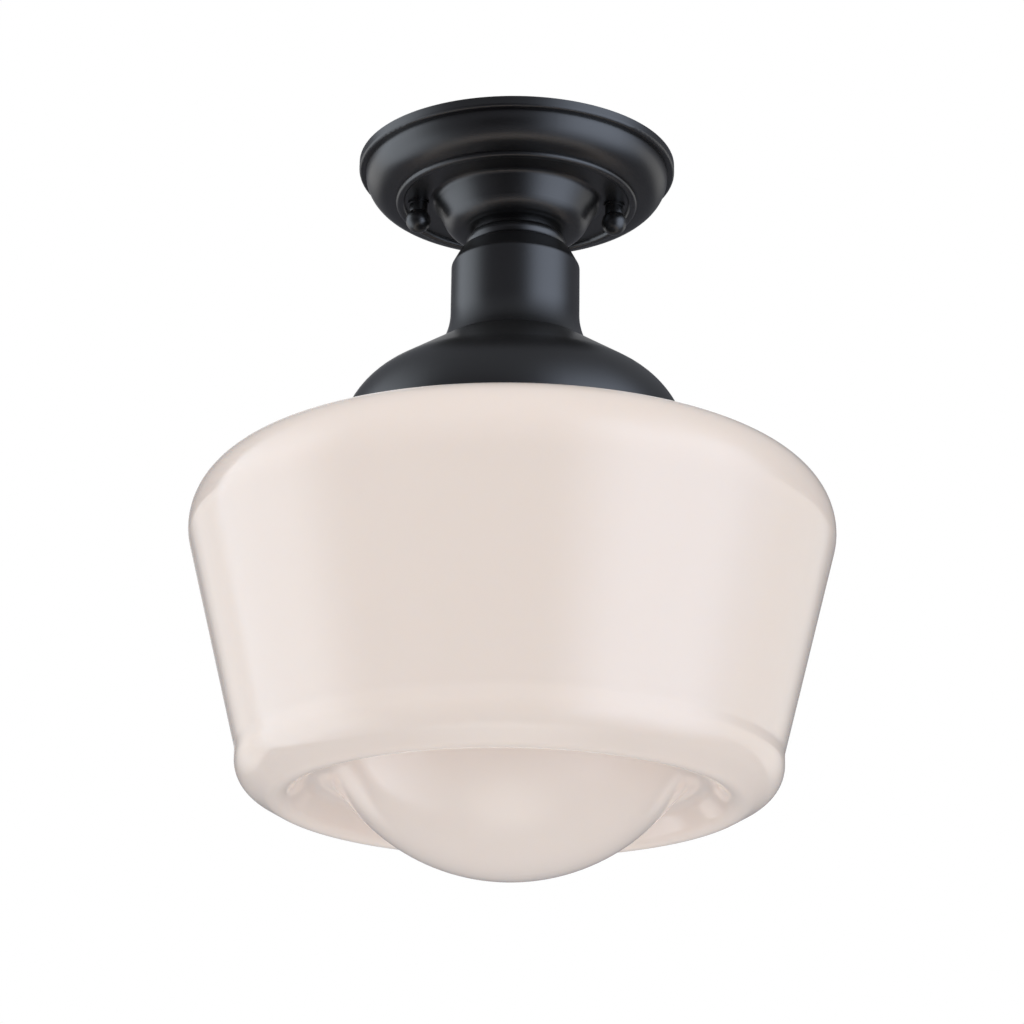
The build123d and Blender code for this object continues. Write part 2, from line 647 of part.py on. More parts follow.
with BuildPart() as holder_body:
    with BuildSketch(Plane.XZ):
        with BuildLine():
            FilletPolyline(
                (CONTACT_RIVET_RADIUS + THREAD_GAP, socket_top),
                (CONTACT_RIVET_RADIUS + THREAD_GAP, holder_top),
                (HOLDER_SPIGOT_RADIUS, holder_top),
                (HOLDER_SPIGOT_RADIUS, holder_shoulder),
                (HOLDER_RADIUS, holder_shoulder),
                (HOLDER_RADIUS, holder_foot),
                (socket_radius, holder_foot),
                (socket_radius, socket_top),
                radius=[
                    0,
                    0,
                    0,
                    HOLDER_EDGE_ROUND,
                    HOLDER_EDGE_ROUND,
                    0,
                ],
            )
            Line((socket_radius, socket_top), (CONTACT_RIVET_RADIUS + THREAD_GAP, socket_top))
        make_face()
    revolve(axis=Axis.Z)
    # the channel for the leads across the top and down each side to the terminal pockets
    with BuildSketch(Plane.XY.offset(holder_top)):
        Rectangle(2 * HOLDER_SPIGOT_RADIUS, WIRE_WAY)
    extrude(amount=channel_foot - holder_top, mode=Mode.SUBTRACT)
    with BuildSketch(Plane.XY.offset(holder_top)):
        with GridLocations(2 * HOLDER_RADIUS, 0, 2, 1):
            Rectangle(2 * TERMINAL_POCKET_DEPTH + WIRE_WAY / 2, WIRE_WAY)
    extrude(amount=terminal_level - holder_top, mode=Mode.SUBTRACT)
    for side in (-1, 1):
        with BuildSketch(Plane.YZ.offset(side * terminal_seat)):
            with Locations((0, terminal_level)):
                Rectangle(TERMINAL_POCKET, TERMINAL_POCKET)
        extrude(amount=side * 2 * TERMINAL_POCKET_DEPTH, mode=Mode.SUBTRACT)
        with BuildSketch(Plane.YZ.offset(side * terminal_seat)):
            with Locations((0, terminal_level)):
                Circle(TERMINAL_RADIUS + THREAD_GAP)
        extrude(amount=-side * TERMINAL_LENGTH, mode=Mode.SUBTRACT)
    with BuildSketch(Plane.XY.offset(holder_foot)):
        with GridLocations(0, 2 * HOLDER_SCREW_REACH, 1, 2):
            Circle(HOLDER_SCREW_HEAD_RADIUS + HOLDER_POCKET_GAP)
    extrude(amount=HOLDER_SCREW_POCKET, mode=Mode.SUBTRACT)
    with BuildSketch(Plane.XY.offset(screw_seat)):
        with GridLocations(0, 2 * HOLDER_SCREW_REACH, 1, 2):
            Circle(HOLDER_SCREW_RADIUS + THREAD_GAP)
    extrude(amount=holder_top - screw_seat, mode=Mode.SUBTRACT)
holder_body.part.label = "holder_body"
export_step(holder_body.part, "parts/holder_body.step")

with BuildPart() as holder_screws:
    with BuildSketch(Plane.XY.offset(screw_seat)):
        with GridLocations(0, 2 * HOLDER_SCREW_REACH, 1, 2):
            Circle(HOLDER_SCREW_HEAD_RADIUS)
    extrude(amount=-HOLDER_SCREW_HEAD)
    with BuildSketch(Plane.XY.offset(screw_seat)):
        with GridLocations(0, 2 * HOLDER_SCREW_REACH, 1, 2):
            Circle(HOLDER_SCREW_RADIUS)
    extrude(amount=cap_top - screw_seat)
holder_screws.part.label = "holder_screws"
export_step(holder_screws.part, "parts/holder_screws.step")

for side, name in ((-1, "neutral_terminal"), (1, "hot_terminal")):
    with BuildPart() as terminal:
        with BuildSketch(Plane.YZ.offset(side * terminal_seat)):
            with Locations((0, terminal_level)):
                Circle(TERMINAL_HEAD_RADIUS)
        extrude(amount=side * TERMINAL_HEAD)
        with BuildSketch(Plane.YZ.offset(side * terminal_seat)):
            with Locations((0, terminal_level)):
                Circle(TERMINAL_RADIUS)
        extrude(amount=-side * TERMINAL_LENGTH)
    terminal.part.label = name
    export_step(terminal.part, f"parts/{name}.step")

shell_foot = holder_foot + SHELL_RECESS
with BuildPart() as screw_shell:
    with BuildSketch(Plane.XY.offset(shell_foot)):
        Circle(shell_inner + SHELL_THICKNESS)
        Circle(shell_inner, mode=Mode.SUBTRACT)
    extrude(amount=SHELL_LENGTH)
screw_shell.part.label = "screw_shell"
export_step(screw_shell.part, "parts/screw_shell.step")

contact_top = socket_top - CONTACT_STAND_OFF
contact_foot = contact_top - CONTACT_SHEET
with BuildPart() as centre_contact:
    with BuildSketch(Plane.XY.offset(contact_top)):
        Circle(CONTACT_RADIUS)
    extrude(amount=-CONTACT_SHEET)
    with BuildSketch(Plane.XY.offset(contact_top)):
        Circle(CONTACT_RIVET_RADIUS)
    extrude(amount=channel_foot - contact_top)
    with BuildSketch(Plane.XY.offset(channel_foot)):
        Circle(WIRE_WAY / 2 - HOLDER_POCKET_GAP)
    extrude(amount=CONTACT_RIVET_HEAD)
centre_contact.part.label = "centre_contact"
export_step(centre_contact.part, "parts/centre_contact.step")

# =========================================================================== lamp
# A household lamp on a screw cap: brass contact, black insulator, nickel shell, white housing
# and a round diffuser that carries on the housing's own curve.
lamp_top = contact_foot - FACE_GAP
insulator_top = lamp_top - LAMP_TIP_HEIGHT
lamp_cap_top = insulator_top - LAMP_INSULATOR_HEIGHT
lamp_cap_foot = lamp_cap_top - LAMP_CAP_LENGTH
lamp_cap_inner = LAMP_CAP_RADIUS - LAMP_CAP_SHEET
lamp_foot = lamp_top - LAMP_LENGTH
globe_level = lamp_foot + LAMP_BULB_RADIUS
housing_foot = lamp_cap_foot - LAMP_HOUSING_HEIGHT
mouth_radius = LAMP_BULB_RADIUS - LAMP_MOUTH_INSET

with BuildPart() as lamp_contact:
    with BuildSketch(Plane.XZ):
        with BuildLine():
            Polyline(
                (0, insulator_top),
                (0, lamp_top),
                (LAMP_TIP_RADIUS * 0.6, lamp_top),
                (LAMP_TIP_RADIUS, lamp_top - LAMP_TIP_HEIGHT * 0.6),
                (LAMP_TIP_RADIUS, insulator_top),
                close=True,
            )
        make_face()
    revolve(axis=Axis.Z)
lamp_contact.part.label = "lamp_contact"
export_step(lamp_contact.part, "parts/lamp_contact.step")

with BuildPart() as lamp_insulator:
    with BuildSketch(Plane.XZ):
        with BuildLine():
            Polyline(
                (0, insulator_top),
                (LAMP_TIP_RADIUS, insulator_top),
                (LAMP_INSULATOR_RADIUS, lamp_cap_top),
                (LAMP_INSULATOR_RADIUS, lamp_cap_top - LAMP_INSULATOR_DEPTH),
                (0, lamp_cap_top - LAMP_INSULATOR_DEPTH),
                close=True,
            )
        make_face()
    revolve(axis=Axis.Z)
lamp_insulator.part.label = "lamp_insulator"
export_step(lamp_insulator.part, "parts/lamp_insulator.step")

with BuildPart() as lamp_cap:
    with BuildSketch(Plane.XZ):
        with BuildLine():
            Polyline(
                (LAMP_INSULATOR_RADIUS, lamp_cap_top),
                (LAMP_CAP_RADIUS - LAMP_CAP_SHEET, lamp_cap_top),
                (LAMP_CAP_RADIUS, lamp_cap_top - LAMP_CAP_SHEET * 2),
                (LAMP_CAP_RADIUS, lamp_cap_foot),
            )
            offset(amount=LAMP_CAP_SHEET, kind=Kind.INTERSECTION, side=Side.RIGHT)
        make_face()
    revolve(axis=Axis.Z)
lamp_cap.part.label = "lamp_cap"
export_step(lamp_cap.part, "parts/lamp_cap.step")

# The diffuser's upper wall is an arc that is upright at the bulb's widest level; the housing's
# flare starts where that arc ends, in the same direction.
upper_height = housing_foot - globe_level
wall_arc = (LAMP_MOUTH_INSET**2 + upper_height**2) / (2 * LAMP_MOUTH_INSET)
mouth_direction = (-upper_height, wall_arc - LAMP_MOUTH_INSET)
collar_level = lamp_cap_foot - LAMP_COLLAR_HEIGHT

with BuildPart() as lamp_housing:
    with BuildSketch(Plane.XZ):
        with BuildLine():
            TangentArc(
                (mouth_radius, housing_foot),
                (LAMP_COLLAR_RADIUS, collar_level),
                tangent=mouth_direction,
            )
            Polyline(
                (LAMP_COLLAR_RADIUS, collar_level),
                (LAMP_COLLAR_RADIUS, lamp_cap_foot),
                (lamp_cap_inner - THREAD_GAP, lamp_cap_foot),
                (lamp_cap_inner - THREAD_GAP, lamp_cap_foot + LAMP_SPIGOT_HEIGHT),
                (lamp_cap_inner - THREAD_GAP - LAMP_HOUSING_WALL, lamp_cap_foot + LAMP_SPIGOT_HEIGHT),
                (lamp_cap_inner - THREAD_GAP - LAMP_HOUSING_WALL, collar_level),
            )
            TangentArc(
                (mouth_radius - LAMP_HOUSING_WALL, housing_foot),
                (lamp_cap_inner - THREAD_GAP - LAMP_HOUSING_WALL, collar_level),
                tangent=mouth_direction,
            )
            Line((mouth_radius - LAMP_HOUSING_WALL, housing_foot), (mouth_radius, housing_foot))
        make_face()
    revolve(axis=Axis.Z)
lamp_housing.part.label = "lamp_housing"
export_step(lamp_housing.part, "parts/lamp_housing.step")

board_radius = mouth_radius - LAMP_HOUSING_WALL - THREAD_GAP
with BuildPart() as lamp_board:
    with BuildSketch(Plane.XY.offset(housing_foot)):
        Circle(board_radius)
    extrude(amount=LAMP_BOARD, taper=degrees(atan2(upper_height, wall_arc - LAMP_MOUTH_INSET)) + 1)
lamp_board.part.label = "lamp_board"
export_step(lamp_board.part, "parts/lamp_board.step")

with BuildPart() as lamp_diffuser:
    with BuildSketch(Plane.XZ):
        with BuildLine():
            TangentArc(
                (LAMP_BULB_RADIUS, globe_level),
                (mouth_radius, housing_foot),
                tangent=(0, 1),
            )
            TangentArc(
                (LAMP_BULB_RADIUS, globe_level),
                (0, lamp_foot),
                tangent=(0, -1),
            )
            offset(amount=LAMP_GLOBE_WALL, side=Side.LEFT)
        make_face()
    revolve(axis=Axis.Z)
lamp_diffuser.part.label = "lamp_diffuser"
export_step(lamp_diffuser.part, "parts/lamp_diffuser.step")
print(f"overall height {-SHADE_FOOT:.1f}, shade {2 * SHADE_RADIUS:.0f} across")
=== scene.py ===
import logging
import math
from dataclasses import dataclass, field
from enum import Enum

import bmesh
import bpy
import numpy as np
from mathutils import Matrix, Vector


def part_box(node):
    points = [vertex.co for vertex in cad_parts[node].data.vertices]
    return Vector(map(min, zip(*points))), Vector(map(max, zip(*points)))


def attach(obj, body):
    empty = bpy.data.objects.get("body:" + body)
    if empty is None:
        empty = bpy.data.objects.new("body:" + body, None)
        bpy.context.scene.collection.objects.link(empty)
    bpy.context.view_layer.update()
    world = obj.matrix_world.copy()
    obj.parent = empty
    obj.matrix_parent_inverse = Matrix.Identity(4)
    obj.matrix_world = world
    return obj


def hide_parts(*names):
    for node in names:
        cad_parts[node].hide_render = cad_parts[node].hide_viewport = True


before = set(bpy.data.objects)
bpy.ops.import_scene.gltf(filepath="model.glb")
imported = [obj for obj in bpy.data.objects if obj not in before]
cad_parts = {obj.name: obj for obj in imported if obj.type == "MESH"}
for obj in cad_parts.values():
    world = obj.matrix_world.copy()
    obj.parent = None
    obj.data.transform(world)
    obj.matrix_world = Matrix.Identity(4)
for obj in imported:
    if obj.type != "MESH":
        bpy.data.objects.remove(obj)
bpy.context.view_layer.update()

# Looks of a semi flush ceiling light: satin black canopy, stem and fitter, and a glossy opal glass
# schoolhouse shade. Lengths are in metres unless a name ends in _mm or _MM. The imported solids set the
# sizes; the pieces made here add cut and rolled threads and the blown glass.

logging.basicConfig(level=logging.INFO, format="%(message)s")
LOG = logging.getLogger("ceiling_light")
MM = 0.001
TURN = 2.0 * math.pi
WHITE = (1.0, 1.0, 1.0, 1.0)

MERGE = 1e-7  # points nearer than this become one
COLLAPSE = 1e-8  # edges shorter than this are taken out
SMOOTH_DEG = 50.0  # edges that turn by less than this are shaded smooth
STRAIGHT = 1e-4  # a corner that turns by less than about this, in radians, is left alone
LEAST_ARC_POINTS = 3
VEE_GAIN = 1.6  # a vee thread's triangle is raised by the gain and lowered by the cut
VEE_CUT = 0.2


# ------------------------------------------------------------------------------ surfaces
def arc_path(points: list[tuple[float, float]], radii: list[float], step: float) -> np.ndarray:
    """Round the corners of a path in the (radius, height) plane.

    At each inner corner the two straight runs are cut back by radius times the tangent of half
    the turn, and a circle of that radius joins them, stepped by equal angles.

    Args:
        points: the path's corners, in millimetres.
        radii: one radius for each inner corner, zero for a sharp one.
        step: the angle between neighbouring points of an arc, in radians.

    Returns:
        The rounded path's points, one row each, in millimetres.
    """
    pts = np.asarray(points, dtype=float)
    out = [pts[:1]]
    for before, corner, after, radius in zip(pts[:-2], pts[1:-1], pts[2:], radii):
        a = (before - corner) / np.linalg.norm(before - corner)
        b = (after - corner) / np.linalg.norm(after - corner)
        half = 0.5 * math.acos(float(np.clip(a @ b, -1.0, 1.0)))
        if radius <= 0.0 or half > math.pi / 2 - STRAIGHT:
            out.append(corner[None, :])
            continue
        middle = corner + (a + b) / np.linalg.norm(a + b) * radius / math.sin(half)
        start = corner + a * radius / math.tan(half) - middle
        sweep = math.pi - 2.0 * half
        side = 1.0 if start[1] * a[0] - start[0] * a[1] > 0.0 else -1.0
        angle = np.linspace(0.0, side * sweep, max(LEAST_ARC_POINTS, int(sweep / step) + 2))
        cos, sin = np.cos(angle), np.sin(angle)
        arc = np.stack([start[0] * cos - start[1] * sin, start[0] * sin + start[1] * cos], axis=1)
        out.append(middle + arc)
    out.append(pts[-1:])
    return np.vstack(out)


def resample(path: np.ndarray, longest: float) -> np.ndarray:
    """Divide each run of a path that is longer than a given length into equal parts.

    Args:
        path: the path's points, one row each.
        longest: the longest run that is left as it is.

    Returns:
        The path with the points that were added.
    """
    runs = np.linalg.norm(np.diff(path, axis=0), axis=1)
    parts = np.maximum(1, np.ceil(runs / longest).astype(int))
    places = np.concatenate([[0.0]] + [i + np.arange(1, n + 1) / n for i, n in enumerate(parts)])
    index = np.arange(len(path))
    return np.stack([np.interp(places, index, path[:, k]) for k in range(2)], axis=1)


def wall(path: np.ndarray, thickness: float) -> np.ndarray:
    """Give a path a constant thickness on its right-hand side.

    Each point's partner is moved by the sum of its two runs' unit normals, times the thickness,
    over one plus their dot product, which keeps both faces of a bent wall one thickness apart. A
    normal is the run's direction turned a quarter clockwise.

    Args:
        path: the outer face's points, one row each.
        thickness: the wall's thickness, in the path's unit.

    Returns:
        The partners of the path's points, in the same order.
    """
    runs = np.diff(path, axis=0)
    runs /= np.linalg.norm(runs, axis=1, keepdims=True)
    normals = np.stack([runs[:, 1], -runs[:, 0]], axis=1)
    before = np.vstack([normals[:1], normals])
    after = np.vstack([normals, normals[-1:]])
    share = 1.0 + np.sum(before * after, axis=1, keepdims=True)
    partners = path + thickness * (before + after) / share
    partners[:, 0] = np.maximum(partners[:, 0], 0.0)
    return partners


def mesh_object(name: str, vertices: np.ndarray, faces: np.ndarray) -> bpy.types.Object:
    """Make an object from whole arrays of vertices and four-sided faces.

    Args:
        name: the object's name.
        vertices: points in metres, one row each.
        faces: four vertex numbers a row.

    Returns:
        The linked object, standing at the origin.
    """
    mesh = bpy.data.meshes.new(name)
    mesh.from_pydata(vertices.tolist(), [], faces.tolist())
    work = bmesh.new()
    work.from_mesh(mesh)
    bmesh.ops.remove_doubles(work, verts=work.verts, dist=MERGE)
    bmesh.ops.dissolve_degenerate(work, edges=work.edges, dist=COLLAPSE)
    bmesh.ops.recalc_face_normals(work, faces=work.faces)
    work.to_mesh(mesh)
    work.free()
    mesh.shade_smooth()
    mesh.set_sharp_from_angle(angle=math.radians(SMOOTH_DEG))
    made = bpy.data.objects.new(name, mesh)
    bpy.context.scene.collection.objects.link(made)
    return made


def loop_grid(name: str, rows: np.ndarray, closed: bool) -> bpy.types.Object:
    """Skin a stack of closed loops.

    Corner (i, j) of the skin is point j of loop i; each face joins two neighbouring points of two
    neighbouring loops. A loop whose points coincide closes the skin at a pole.

    Args:
        name: the object's name.
        rows: the points, as loops by points by three, in metres.
        closed: whether the last loop joins the first.

    Returns:
        The linked object.
    """
    count, ring = rows.shape[:2]
    i = np.arange(count if closed else count - 1)[:, None]
    j = np.arange(ring)[None, :]
    k = (i + 1) % count
    m = (j + 1) % ring
    faces = np.stack([i * ring + j, i * ring + m, k * ring + m, k * ring + j], axis=-1)
    return mesh_object(name, rows.reshape(-1, 3), faces.reshape(-1, 4))


class ThreadForm(Enum):
    """How a thread's section rises and falls along one pitch."""

    ROUND = "round"
    VEE = "vee"

    def height(self, phase: np.ndarray) -> np.ndarray:
        """Work out the height of the thread's section.

        A round form is half of one minus the cosine of the phase. A vee is a triangle times its gain
        less its cut, kept between 0 and 1, which leaves both crest and root flat.

        Args:
            phase: the way along the thread, counted in pitches.

        Returns:
            The height, 0 at the root and 1 at the crest.
        """
        part = np.mod(phase, 1.0)
        if self is ThreadForm.ROUND:
            return 0.5 - 0.5 * np.cos(TURN * part)
        return np.clip(VEE_GAIN * (1.0 - np.abs(2.0 * part - 1.0)) - VEE_CUT, 0.0, 1.0)


@dataclass
class Thread:
    """A rod or a sleeve with a helical thread, on an axis along Z; as it stands, a cut one."""

    crest_mm: float
    depth_mm: float
    top_mm: float
    foot_mm: float
    pitch_mm: float
    form: ThreadForm = ThreadForm.VEE
    runout_mm: float = 0.3
    segments: int = 28
    rows_per_pitch: int = 6
    chamfer_mm: float = 0.4

    def radius(self, turn: np.ndarray, z: np.ndarray) -> np.ndarray:
        """Radius of the threaded face.

        It is the crest less the depth times one minus the thread's height, whose phase gains one
        for each pitch of height and loses one for each turn. The thread fades out at both ends.

        Args:
            turn: the angle about the axis, in radians.
            z: the height, in millimetres.

        Returns:
            The radius in millimetres.
        """
        phase = (z - self.foot_mm) / self.pitch_mm - turn / TURN
        ends = np.minimum(z - self.foot_mm, self.top_mm - z) / self.runout_mm
        fade = np.clip(ends, 0.0, 1.0)
        return self.crest_mm - self.depth_mm * (1.0 - self.form.height(phase)) * fade

    def face(self) -> tuple[np.ndarray, np.ndarray, np.ndarray]:
        """Sample the threaded face.

        Returns:
            Arrays of turn, radius and height over the grid, rows from foot to top.
        """
        count = int((self.top_mm - self.foot_mm) / self.pitch_mm * self.rows_per_pitch) + 2
        z = np.linspace(self.foot_mm, self.top_mm, count)[:, None]
        turn = np.linspace(0.0, TURN, self.segments, endpoint=False)[None, :]
        turn, z = np.broadcast_arrays(turn, z)
        return turn, self.radius(turn, z), z

    def solid(self, name: str, bore_mm: float, axis_x_mm: float) -> bpy.types.Object:
        """Make a threaded rod: the face, its two chamfered ends and, if it has one, its bore.

        Args:
            name: the object's name.
            bore_mm: the bore's radius, or zero for a full rod.
            axis_x_mm: where the axis stands along X.

        Returns:
            The linked object.
        """
        turn, radius, z = self.face()
        ends = np.clip(np.minimum(z - self.foot_mm, self.top_mm - z) / self.chamfer_mm, 0.0, 1.0)
        radius = np.minimum(radius, self.crest_mm - self.chamfer_mm * (1.0 - ends))
        bore = np.full_like(radius[:1], bore_mm)
        r = np.vstack([bore, radius, bore])
        h = np.vstack([z[:1], z, z[-1:]])
        t = np.vstack([turn[:1], turn, turn[-1:]])
        rows = np.stack([axis_x_mm + r * np.cos(t), r * np.sin(t), h], axis=-1)
        return loop_grid(name, rows * MM, bore_mm > 0.0)

    def sleeve(self, name: str, wall_mm: float,
               ends_mm: tuple[tuple[float, float], ...] = ()) -> bpy.types.Object:
        """Make a rolled sleeve: both faces follow the same thread, one wall apart.

        Args:
            name: the object's name.
            wall_mm: the sleeve's wall; positive puts the second face outside the first.
            ends_mm: further (radius, height) points that lead from the top of the first face.

        Returns:
            The linked object.
        """
        turn, radius, z = self.face()
        lead = [np.full_like(radius[:1], r) for r, _ in ends_mm]
        rise = [np.full_like(z[:1], h) for _, h in ends_mm]
        r = np.vstack([radius, *lead, *[x + wall_mm for x in lead[::-1]], (radius + wall_mm)[::-1]])
        h = np.vstack([z, *rise, *[x - abs(wall_mm) for x in rise[::-1]], z[::-1]])
        t = np.broadcast_to(turn[:1], r.shape)
        rows = np.stack([r * np.cos(t), r * np.sin(t), h], axis=-1)
        return loop_grid(name, rows * MM, True)


@dataclass
class RolledThread(Thread):
    """The round thread that the lamp's cap and the holder's shell share."""

    pitch_mm: float = 3.63
    form: ThreadForm = ThreadForm.ROUND
    runout_mm: float = 1.2
    segments: int = 64
    rows_per_pitch: int = 10


# ------------------------------------------------------------------------------ shared effects
VECTOR, COLOUR, VALUE = "NodeSocketVector", "NodeSocketColor", "NodeSocketFloat"
NOISE_MIDDLE = 0.5  # what a noise gives on average
TONE_DETAIL = 3.0
COARSE_DETAIL, FINE_DETAIL = 1.0, 2.0
DUST_TONE = (0.55, 0.53, 0.50, 1.0)
DUST_SPECKLE_SCALE, DUST_SPECKLE_DETAIL = 900.0, 2.0
DUST_CLOUD_SCALE, DUST_CLOUD_DETAIL = 35.0, 3.0
DUST_FALL_OFF = 2.0  # power of the upward share of the normal
DUST_ROUGHNESS = 0.5  # roughness that full dust adds


def new_group(name: str, inputs: dict[str, str], outputs: dict[str, str]) -> bpy.types.NodeTree:
    """Start a shader node group.

    Args:
        name: the group's name.
        inputs: socket name to its kind.
        outputs: socket name to its kind.

    Returns:
        The empty group with its sockets and its input and output nodes.
    """
    group = bpy.data.node_groups.new(name, "ShaderNodeTree")
    for way, sockets in (("INPUT", inputs), ("OUTPUT", outputs)):
        for label, kind in sockets.items():
            group.interface.new_socket(label, in_out=way, socket_type=kind)
    group.nodes.new("NodeGroupInput").name = "in"
    group.nodes.new("NodeGroupOutput").name = "out"
    return group


def join(tree: bpy.types.NodeTree, source: object, target: bpy.types.NodeSocket) -> None:
    """Feed an input, by a link from a socket or with a value of its own.

    Args:
        tree: the node tree.
        source: a socket, a number or a colour.
        target: the input.
    """
    if isinstance(source, bpy.types.NodeSocket):
        tree.links.new(source, target)
    else:
        target.default_value = source


def math_node(tree: bpy.types.NodeTree, operation: str, *values: object) -> bpy.types.NodeSocket:
    """Add a Math node.

    Args:
        tree: the node tree.
        operation: Blender's name of the operation.
        values: a socket or a number for each input.

    Returns:
        The node's result.
    """
    node = tree.nodes.new("ShaderNodeMath")
    node.operation = operation
    for socket, value in zip(node.inputs, values):
        join(tree, value, socket)
    return node.outputs[0]


def noise(tree: bpy.types.NodeTree, vector: bpy.types.NodeSocket, scale: object,
          detail: float) -> bpy.types.NodeSocket:
    """Add a noise texture.

    Args:
        tree: the node tree.
        vector: the coordinates it reads.
        scale: a socket or a number.
        detail: how many finer layers it has.

    Returns:
        The noise's value.
    """
    node = tree.nodes.new("ShaderNodeTexNoise")
    for label, value in (("Vector", vector), ("Scale", scale), ("Detail", detail)):
        join(tree, value, node.inputs[label])
    return node.outputs[0]


def mix_colours(tree: bpy.types.NodeTree, factor: object, first: object,
                second: object) -> bpy.types.NodeSocket:
    """Mix two colours.

    Args:
        tree: the node tree.
        factor: the second colour's share, a socket or a number.
        first: a socket or a colour.
        second: a socket or a colour.

    Returns:
        The mixed colour.
    """
    node = tree.nodes.new("ShaderNodeMix")
    node.data_type = "RGBA"
    for label, value in (("Factor", factor), ("A", first), ("B", second)):
        join(tree, value, node.inputs[label])
    return node.outputs["Result"]


def mix_shaders(tree: bpy.types.NodeTree, factor: bpy.types.NodeSocket, first: bpy.types.NodeSocket,
                second: bpy.types.NodeSocket) -> bpy.types.NodeSocket:
    """Mix two shaders.

    Args:
        tree: the node tree.
        factor: the second shader's share.
        first: a shader.
        second: a shader.

    Returns:
        The mixed shader.
    """
    node = tree.nodes.new("ShaderNodeMixShader")
    for socket, source in zip(node.inputs, (factor, first, second)):
        join(tree, source, socket)
    return node.outputs[0]


class Effect(Enum):
    """The effects that the finishes share, each with its node group's name."""

    TONE = "tone_drift"
    DUST = "settled_dust"
    RELIEF = "fine_relief"


def tone_drift_group() -> bpy.types.NodeTree:
    """A slow drift of tone over a surface: the colour is multiplied by one plus or minus a share.

    Returns:
        The group. Its factor is noise, centred on nought and scaled by Amount, plus one.
    """
    inputs = {"Vector": VECTOR, "Color": COLOUR, "Scale": VALUE, "Amount": VALUE}
    group = new_group(Effect.TONE.value, inputs, {"Color": COLOUR, "Mask": VALUE})
    source, sink = group.nodes["in"], group.nodes["out"]
    grain = noise(group, source.outputs["Vector"], source.outputs["Scale"], TONE_DETAIL)
    centred = math_node(group, "SUBTRACT", grain, NOISE_MIDDLE)
    factor = math_node(group, "MULTIPLY_ADD", centred, source.outputs["Amount"], 1.0)
    scaled = group.nodes.new("ShaderNodeVectorMath")
    scaled.operation = "SCALE"
    join(group, source.outputs["Color"], scaled.inputs[0])
    join(group, factor, scaled.inputs["Scale"])
    join(group, scaled.outputs[0], sink.inputs["Color"])
    join(group, grain, sink.inputs["Mask"])
    return group


def settled_dust_group() -> bpy.types.NodeTree:
    """Dust on the faces that look up.

    Its mask is a power of the normal's upward share, times a fine speckle, a coarse cloud and Amount.

    Returns:
        The group, which mixes Color with Dust by the mask.
    """
    inputs = {"Vector": VECTOR, "Color": COLOUR, "Dust": COLOUR, "Amount": VALUE}
    group = new_group(Effect.DUST.value, inputs, {"Color": COLOUR, "Mask": VALUE})
    source, sink = group.nodes["in"], group.nodes["out"]
    geometry = group.nodes.new("ShaderNodeNewGeometry")
    split = group.nodes.new("ShaderNodeSeparateXYZ")
    join(group, geometry.outputs["Normal"], split.inputs[0])
    up = math_node(group, "MAXIMUM", split.outputs["Z"], 0.0)
    mask = math_node(group, "POWER", up, DUST_FALL_OFF)
    speckle = noise(group, source.outputs["Vector"], DUST_SPECKLE_SCALE, DUST_SPECKLE_DETAIL)
    cloud = noise(group, source.outputs["Vector"], DUST_CLOUD_SCALE, DUST_CLOUD_DETAIL)
    for factor in (speckle, cloud, source.outputs["Amount"]):
        mask = math_node(group, "MULTIPLY", mask, factor)
    mixed = mix_colours(group, mask, source.outputs["Color"], source.outputs["Dust"])
    join(group, mixed, sink.inputs["Color"])
    join(group, mask, sink.inputs["Mask"])
    return group


def fine_relief_group() -> bpy.types.NodeTree:
    """Two noises added: a coarse one for waviness and a fine one for the skin of the finish.

    Returns:
        The group. Height is Coarse times the first noise plus Fine times the second.
    """
    inputs = {"Vector": VECTOR, "Coarse Scale": VALUE, "Coarse": VALUE, "Fine Scale": VALUE,
              "Fine": VALUE}
    group = new_group(Effect.RELIEF.value, inputs, {"Height": VALUE})
    source, sink = group.nodes["in"], group.nodes["out"]
    coarse = noise(group, source.outputs["Vector"], source.outputs["Coarse Scale"], COARSE_DETAIL)
    fine = noise(group, source.outputs["Vector"], source.outputs["Fine Scale"], FINE_DETAIL)
    height = math_node(group, "MULTIPLY", coarse, source.outputs["Coarse"])
    height = math_node(group, "MULTIPLY_ADD", fine, source.outputs["Fine"], height)
    join(group, height, sink.inputs["Height"])
    return group


EFFECTS = {
    Effect.TONE: tone_drift_group(),
    Effect.DUST: settled_dust_group(),
    Effect.RELIEF: fine_relief_group(),
}


